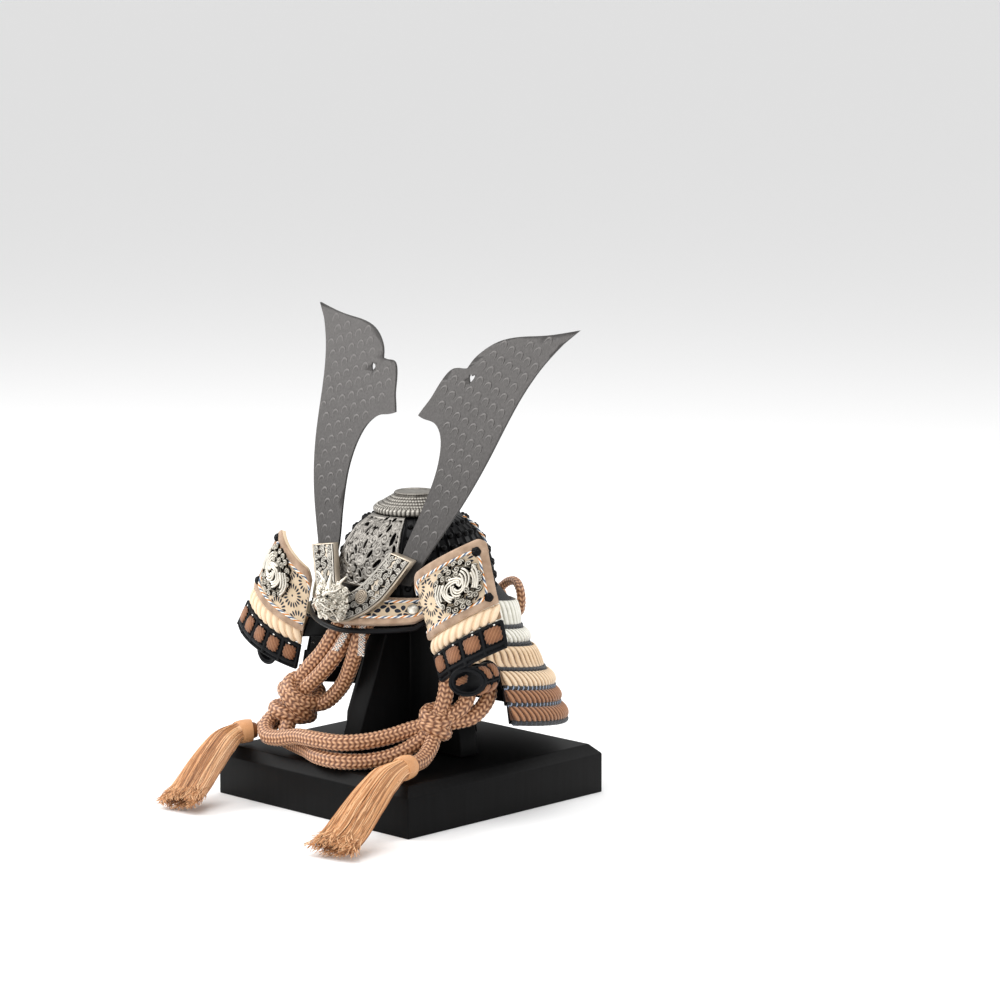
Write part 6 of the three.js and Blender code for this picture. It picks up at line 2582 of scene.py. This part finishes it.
    def curl_axis(self) -> tuple[int, np.ndarray, np.ndarray]:
        """Returns the side's sign, the middle of the tube's mouth and the way the tube runs."""
        sign = 1 if self.name == "left" else -1
        x, y, z = self.curl_at
        way = np.array([sign * 0.08, 1, 0.12])
        return sign, np.array([sign * x, y, z - self.curl_drop]), way / np.linalg.norm(way)

    def slant_mouth(self, tube: bpy.types.Object) -> None:
        """Draws the inner wall of the mouth forwards and the outer wall back: the mouth looks outwards."""
        sign, start, way = self.curl_axis()
        spots = places(tube)
        along = (spots - start) @ way
        outwards = sign * (spots - start - along[:, None] * way)[:, 0] / self.curl_radius
        spots += (self.mouth_slant * outwards * (1 - along / self.curl_length))[:, None] * way
        move_to(tube, spots)

    def curl_tube(self, finishes: Finishes) -> None:
        """Makes the short open tube under the lame, its grid, and woven blocks outside and in its mouth."""
        node = f"turnback_curl_{self.name}"
        tube = cad_copy(node)
        self.slant_mouth(tube)
        bevel(tube, 0.4, 3, 45)
        dress(tube, node + "_tube", finishes.cloth, [node], 40)
        bars, blocks = Stock(), Stock()
        turn = full_turn(48) * self.curl_radius
        for along, radius in self.tube_bars:
            bars.tube(self.curl_place(along, turn, 0.1), radius, 8, closed=True)
        for share in self.tube_posts:
            bars.tube(self.curl_place(np.linspace(0.8, 14.2, 12), share * turn[-1], 0.1), 0.6, 8)
        dress(bars.make(), node + "_grid", finishes.cloth, (), 60)
        for along in (4.0, 10.8):
            for share in (0.155, 0.385):
                self.block(blocks, self.tube_outside, along, share * turn[-1], 2.6, 3.6, 1.0)
        self.block(blocks, self.tube_inside, 4.4, -0.25 * turn[-1], 2.8, 3.4, 1.0)
        dress(blocks.make(), node + "_blocks", finishes.brown_silk, (), 60)

    def tube_outside(self, x: np.ndarray, down: np.ndarray, off: np.ndarray) -> np.ndarray:
        """Places on the outside of the tube, where a block sits."""
        return self.curl_place(x, down, off - 1.2)

    def tube_inside(self, x: np.ndarray, down: np.ndarray, off: np.ndarray) -> np.ndarray:
        """Places on the inside wall of the tube, where a block sits."""
        return self.curl_place(x, down, -0.6 - off)


# ---------------------------------------------------------------- neck guard
class Lace(Enum):
    """How a row is laced."""

    LONG_STRANDS = "long strands that slant down the lame"
    ROLL = "a roll of diagonal turns"


@dataclass(frozen=True)
class GuardRow:
    """One laced row of the neck guard: its edges' heights and radii, and how it is laced.

    Front is how many degrees it runs in front of the axis at each side, and beyond how many more its lame
    runs on the far side. Pinch draws its bands together between the edges.
    """

    top: float
    top_radius: float
    low: float
    low_radius: float
    front: float
    kind: Lace
    silk: str
    pinch: float = 0.0
    beyond: float = 0.0


@dataclass
class NeckGuard:
    """The neck guard: a sloping shoulder and six lacquered lames, each hung from the last by silk lacing."""

    tilt: float = 0.17
    lace: float = 2.0
    plate: float = 1.2
    rows: tuple[GuardRow, ...] = (
        GuardRow(107, 52.6, 95, 54.8, 36, Lace.LONG_STRANDS, "white", 0.14),
        GuardRow(92.7, 57.4, 86.6, 58.6, 33, Lace.ROLL, "white"),
        GuardRow(84.6, 62.0, 74.6, 66.6, 24, Lace.LONG_STRANDS, "cream", 0.3),
        GuardRow(72.6, 69.6, 65.8, 71.8, 6, Lace.ROLL, "cream", 0.0, 6),
        GuardRow(63.8, 73.0, 57.6, 74.6, 6, Lace.ROLL, "brown", 0.0, 6),
        GuardRow(55.6, 76.4, 48.8, 78.2, 6, Lace.ROLL, "brown", 0.0, 6),
    )

    band_pitch: float = 4.9
    turn_pitch: float = 4.1
    strands_each: int = 6
    strand_radius: tuple[float, float] = (0.46, 0.44)
    root: tuple[float, float] = (42.0, 109.0)
    rivet: tuple[float, float] = (0.75, 0.5)
    rivet_inset: float = 2.5

    def point(self, degrees: np.ndarray, radius: np.ndarray | float, z: np.ndarray | float) -> np.ndarray:
        """Places round the guard, which dips towards the back."""
        spot = around(np.radians(degrees), radius, z)
        spot[..., 2] -= self.tilt * (spot[..., 1] - AXIS_Y)
        return spot

    def make(self, finishes: Finishes) -> None:
        """Makes the shoulder, the lames and their lacing."""
        self.shoulder(finishes)
        silks = {"white": finishes.white_silk, "cream": finishes.cream_silk, "brown": finishes.brown_silk}
        for i, row in enumerate(self.rows):
            self.lame(row, i + 1, finishes)
            lacing = self.strands(row) if row.kind is Lace.LONG_STRANDS else self.roll(row)
            name = f"neck_lacing_{i + 1}"
            dress(lacing, name + "_strands", silks[row.silk], [name], 60)
            self.braid(row, i + 1, finishes)
        dress(self.rivets(), "neck_guard_rivets", finishes.bright_silver, (), 60)

    def shoulder(self, finishes: Finishes) -> None:
        """Turns the top lame in to the bowl."""
        row = self.rows[0]
        outer = row.top_radius - self.lace - self.plate - 0.6
        reach = row.front - 4

        def sheet(u: np.ndarray, v: np.ndarray, h: np.ndarray) -> np.ndarray:
            """Places between the bowl's foot and the top lame."""
            degrees = -reach + (180 + 2 * reach) * u
            edge = self.point(degrees, outer + h, row.top + 0.4)
            root = around(np.radians(degrees), self.root[0] + h, self.root[1])
            return root + (edge - root) * v[..., None] + np.array([0, 0, 1.0]) * h[..., None]

        piece = bent_sheet(120, 6, sheet, self.plate)
        dress(piece, "neck_shoulder_plate", finishes.cloth, ["neck_shoulder"], 50)

    def lame(self, row: GuardRow, number: int, finishes: Finishes) -> None:
        """Bends one lacquered lame behind its lacing.

        Args:
            row: the row it belongs to.
            number: the row's number from the top.
            finishes: the finishes.
        """
        high = row.top_radius - self.lace - 0.3
        low = row.low_radius - self.lace - 0.3

        def sheet(u: np.ndarray, v: np.ndarray, h: np.ndarray) -> np.ndarray:
            """Places on the lame's outer face."""
            degrees = -row.front + (180 + 2 * row.front + row.beyond) * u
            radius = low + (high - low) * v + h
            return self.point(degrees, radius, row.low - 1.6 + (row.top + 2.4 - row.low) * v)

        plate = bent_sheet(180, 8, sheet, self.plate, 0.25)
        name = f"neck_plate_{number}"
        dress(plate, name + "_lacquer", finishes.lacquer, [name], 50)

    def rivets(self) -> bpy.types.Object:
        """Returns the small silver rivets inside the ends of the lower lames."""
        head = dome(*self.rivet, 12, 6)
        stock = Stock()
        for row in self.rows[3:]:
            for end in (-row.front + self.rivet_inset, 180 + row.front + row.beyond - self.rivet_inset):
                inner = (row.top_radius + row.low_radius) / 2 - self.lace - self.plate - 0.3
                spot = self.point(np.array([end]), inner, (row.top + row.low) / 2)[0]
                inward = np.array([-math.cos(math.radians(end)), -math.sin(math.radians(end)), 0.0])
                stock.add(head.put(spot, inward), head.faces)
        return stock.make()

    def span(self, row: GuardRow) -> float:
        """Length of a row round its middle, in millimetres."""
        return math.radians(180 + 2 * row.front) * (row.top_radius + row.low_radius) / 2

    def strand(self, row: GuardRow, u: np.ndarray, off: np.ndarray, turn_in: float) -> np.ndarray:
        """Draws one strand of a row's lacing from its top edge to its low one.

        Args:
            row: the row.
            u: how far round the row each point is, from 0 to 1.
            off: how far each point stands off the line between the row's edges.
            turn_in: how far its two ends reach past the edges.

        Returns:
            The strand's points.
        """
        t = np.linspace(0, 1, len(u))
        radius = row.top_radius + (row.low_radius - row.top_radius) * t + off
        z = row.top + (row.low - row.top) * t + turn_in * (1 - 2 * t)
        return self.point(-row.front + (180 + 2 * row.front) * np.clip(u, 0.002, 0.998), radius, z)

    def strands(self, row: GuardRow) -> bpy.types.Object:
        """Returns a row of flat bands of long slanting strands."""
        stock = Stock()
        bands = int(self.span(row) / self.band_pitch)
        dice = random.Random(bands)
        t = np.linspace(0, 1, 16)
        bow = np.sin(math.pi * t) ** 0.5
        sway = 0.7 * (t - 0.5) + row.pinch * 0.5 * np.sin(2 * math.pi * t)
        for i in range(bands):
            for k in range(self.strands_each):
                side = ((k + 0.5) / self.strands_each - 0.5) * (0.96 - row.pinch * np.sin(math.pi * t))
                hump = math.sin(math.pi * (k + 0.7) / 6.4)
                off = bow * (0.55 + 0.55 * hump) - 1.2
                line = self.strand(row, (i + 0.5 + side + sway) / bands, off, 0.3)
                # Lighter in the middle of each band and darker at its sides: painted highlight and painted
                # shade, with a little tone that differs at random.
                shade = 0.2 + 0.6 * hump + dice.uniform(-0.1, 0.1)
                stock.tube(line, tapered(16, self.strand_radius[0], 0.6), 6, shade)
        self.painted_shade_backing(stock, row)
        return stock.make()

    def roll(self, row: GuardRow) -> bpy.types.Object:
        """Returns a row of fat diagonal turns, each a bundle of fine strands laid over a dark sheet of
        painted shade.
        """
        stock = Stock()
        turns = int(self.span(row) / self.turn_pitch)
        t = np.linspace(0, 1, 12)
        bow = np.sin(math.pi * t) ** 0.55
        for i in range(turns):
            for k in range(self.strands_each):
                hump = math.sin(math.pi * (k + 0.6) / 6.2)
                u = (i + 0.12 + k * 0.135) / turns + 1.3 / turns * (t - 0.5)
                line = self.strand(row, u, bow * (1.5 + 1.5 * hump) - 1.9, 0.45)
                # Strands in the middle of each turn are lighter and those at its sides darker: painted
                # highlight and painted shade; every other strand is a little darker.
                shade = 0.02 + 0.86 * hump - 0.08 * (k % 2)
                stock.tube(line, tapered(12, self.strand_radius[1], 0.6), 6, shade)
        self.painted_shade_backing(stock, row)
        return stock.make()

    def painted_shade_backing(self, stock: Stock, row: GuardRow) -> None:
        """Adds a dark sheet under a row: painted shade in the gaps between its strands."""
        degrees = np.linspace(-row.front, 180 + row.front, 120)
        places = (
            (row.top_radius - self.lace, row.top - 0.3),
            (row.top_radius - 0.7, row.top - 0.6),
            (row.low_radius - 0.7, row.low + 0.6),
            (row.low_radius - self.lace, row.low + 0.3),
        )
        points = np.stack([self.point(degrees, radius, z) for radius, z in places], axis=1).reshape(-1, 3)
        stock.add(points, tube_faces(len(degrees), 4), 0.12)

    def braid(self, row: GuardRow, number: int, finishes: Finishes) -> None:
        """Lays the thin braid of dark and pale threads under a row."""
        degrees = np.linspace(-row.front + 0.5, 179.5 + row.front, 400)
        path = self.point(degrees, row.low_radius - 0.9, row.low - 0.9)
        speck = "8c9cb4" if number in (4, 5) else "262c38"
        colours = ("08090c", "0e1014", "08090c", speck)
        Piping(1.25, 0.72, 3.8, colours).make(smooth_path(path[::4], 0.5), f"neck_braid_{number}", finishes)


# ---------------------------------------------------------------- ties and rear bow
@dataclass
class Ties:
    """The two flat braided tapes that hang from under the visor."""

    half_width: float = 2.6
    forwards: float = 0.6
    strands: int = 8
    strand_radius: float = 0.42
    pitch: float = 5.2
    lift: float = 0.22
    route: tuple = ((5, -37.5, 99), (5.5, -38.6, 92), (7.4, -41, 85), (9.5, -43.6, 80))
    colours: tuple[str, ...] = ("f3efe4", "232c4a", "e9e4d8", "a9683a")

    def make(self, finishes: Finishes) -> None:
        """Braids each tape of flat strands that cross over and under."""
        for name, sign in (("left", -1), ("right", 1)):
            path = smooth_path(np.array(self.route) * (sign, 1, 1), 0.3)
            path[:, 1] -= self.forwards
            along = distances(path)
            stock = Stock()
            for i in range(self.strands):
                phase = along / self.pitch + i / self.strands
                swing = 2 * np.abs(2 * (phase % 1) - 1) - 1
                over = self.lift * np.cos(phase * 16 * math.pi)
                line = path + np.stack([swing * (self.half_width - 0.5), over, 0 * swing], axis=1)
                stock.tube(line, self.strand_radius, 7, 1.0, self.colours[i % len(self.colours)])
            dress(stock.make(), f"tie_{name}_tape", finishes.thread, [f"tie_{name}"], 60)


@dataclass
class RearBow:
    """The cord bow at the back: two loops and a knot, over the top lame."""

    loop: tuple = (
        (3, 62.4, 99.5), (11, 61.5, 104.5), (18, 59.5, 105.3), (23.3, 57, 102), (25, 56.2, 97),
        (23.3, 57.4, 91.8), (18, 60.5, 88.8), (11, 63.2, 88.6), (3, 64.2, 92.5),
    )
    knot: Triple = (0, 63.2, 96)
    knot_turns: tuple[Triple, ...] = ((0.2, 0.3, 0), (1.4, 0.2, 0), (0.8, 1.2, 0))
    knot_radius: float = 3.2
    knot_core: float = 3.6
    braid: Braid = field(
        default_factory=lambda: Braid(radius=2.4, stitch=2.1, columns=8, depth=0.42, spacing=0.4)
    )

    def make(self, finishes: Finishes) -> None:
        stock = Stock()
        for turn in self.knot_turns:
            self.braid.add_to(stock, self.braid.ring(self.knot, self.knot_radius, turn), closed=True)
        core = ball(self.knot_core, 24, 16)
        # The core is given a low relief, which paints it dark: painted shade in the middle of the knot.
        stock.add(core.points + np.array(self.knot), core.faces, 0.3)
        knot = dress(stock.make(), "rear_bow_knot", finishes.cord_silk, ["rear_bow"])
        for name, sign in (("left", 1), ("right", -1)):
            path = smooth_path(np.array(self.loop) * (sign, 1, 1), self.braid.spacing)
            loop = Stock()
            self.braid.add_to(loop, path)
            piece = dress(loop.make(), f"rear_bow_loop_{name}", finishes.cord_silk, ["rear_bow"])


# ---------------------------------------------------------------- the whole object
TURNBACKS = (
    TurnBack(
        "left", ((36.5, -31, 123.2), (56.3, -31, 71.4)), ((72.8, -19.3, 145.3), (89.4, -20.3, 91.5)),
        (0.62, 17.6), ((0.88, 5.6), (0.91, 29)), 0.0, 0.0, 3, mouth_slant=5.5,
    ),
    TurnBack(
        "right", ((-35.7, -27.4, 112.7), (-45.8, -26.9, 60.4)), ((-63.4, -28.1, 134.7), (-95.9, -31.2, 79.2)),
        (0.66, 14.5), ((0.94, 4.6), (0.94, 28.5)), 0.14, 5.0, 4, pads=5,
    ),
)
TASSELS = (
    Tassel("tassel_left", (
        (-57.2, -55.6, 33), (-59.6, -59.6, 32.7), (-61.5, -64, 32.2), (-61, -74, 29.5), (-59, -88, 20.5),
        (-56, -102, 10.5), (-53.5, -114, 4.2),
    ), 11),
    Tassel("tassel_right", (
        (57, -55, 32.7), (58.6, -60, 33), (60.6, -66, 33), (62.5, -79, 30), (65, -95, 20.5), (68, -111, 10),
        (70.5, -124.5, 4.2),
    ), 12),
)


def build() -> None:
    """Builds the studio and every piece of the object, the cords first."""
    Studio().make()
    finishes = Finishes()
    tassels = []
    for tassel in TASSELS:
        piece = tassel.make(finishes)
        piece.name = tassel.name + "_threads"
        tassels.append(piece)
    ChinCord().make(finishes, tassels)
    Stand().make(finishes)
    Bowl().make(finishes)
    FrontPlate().make(finishes)
    Crown().make(finishes)
    Visor().make(finishes)
    CrestHolder().make(finishes)
    BeastHead().make(finishes)
    Horns().make(finishes)
    for turnback in TURNBACKS:
        turnback.make(finishes)
    NeckGuard().make(finishes)
    Ties().make(finishes)
    RearBow().make(finishes)


def corners(bounds: Sequence[Vector]) -> list[list[float]]:
    """Plain numbers of two corners."""
    return [list(corner) for corner in bounds]


def main() -> None:
    """Loads the frame, builds the looks, and works out how large both are."""
    logging.basicConfig(level=logging.INFO, format="%(name)s %(message)s")
    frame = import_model()
    log.info("%d CAD nodes", len(frame["nodes"]))
    before = corners(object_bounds())
    build()
    bpy.context.view_layer.update()
    {"cad": before, "visual": corners(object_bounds())}


if __name__ == "__main__":
    main()
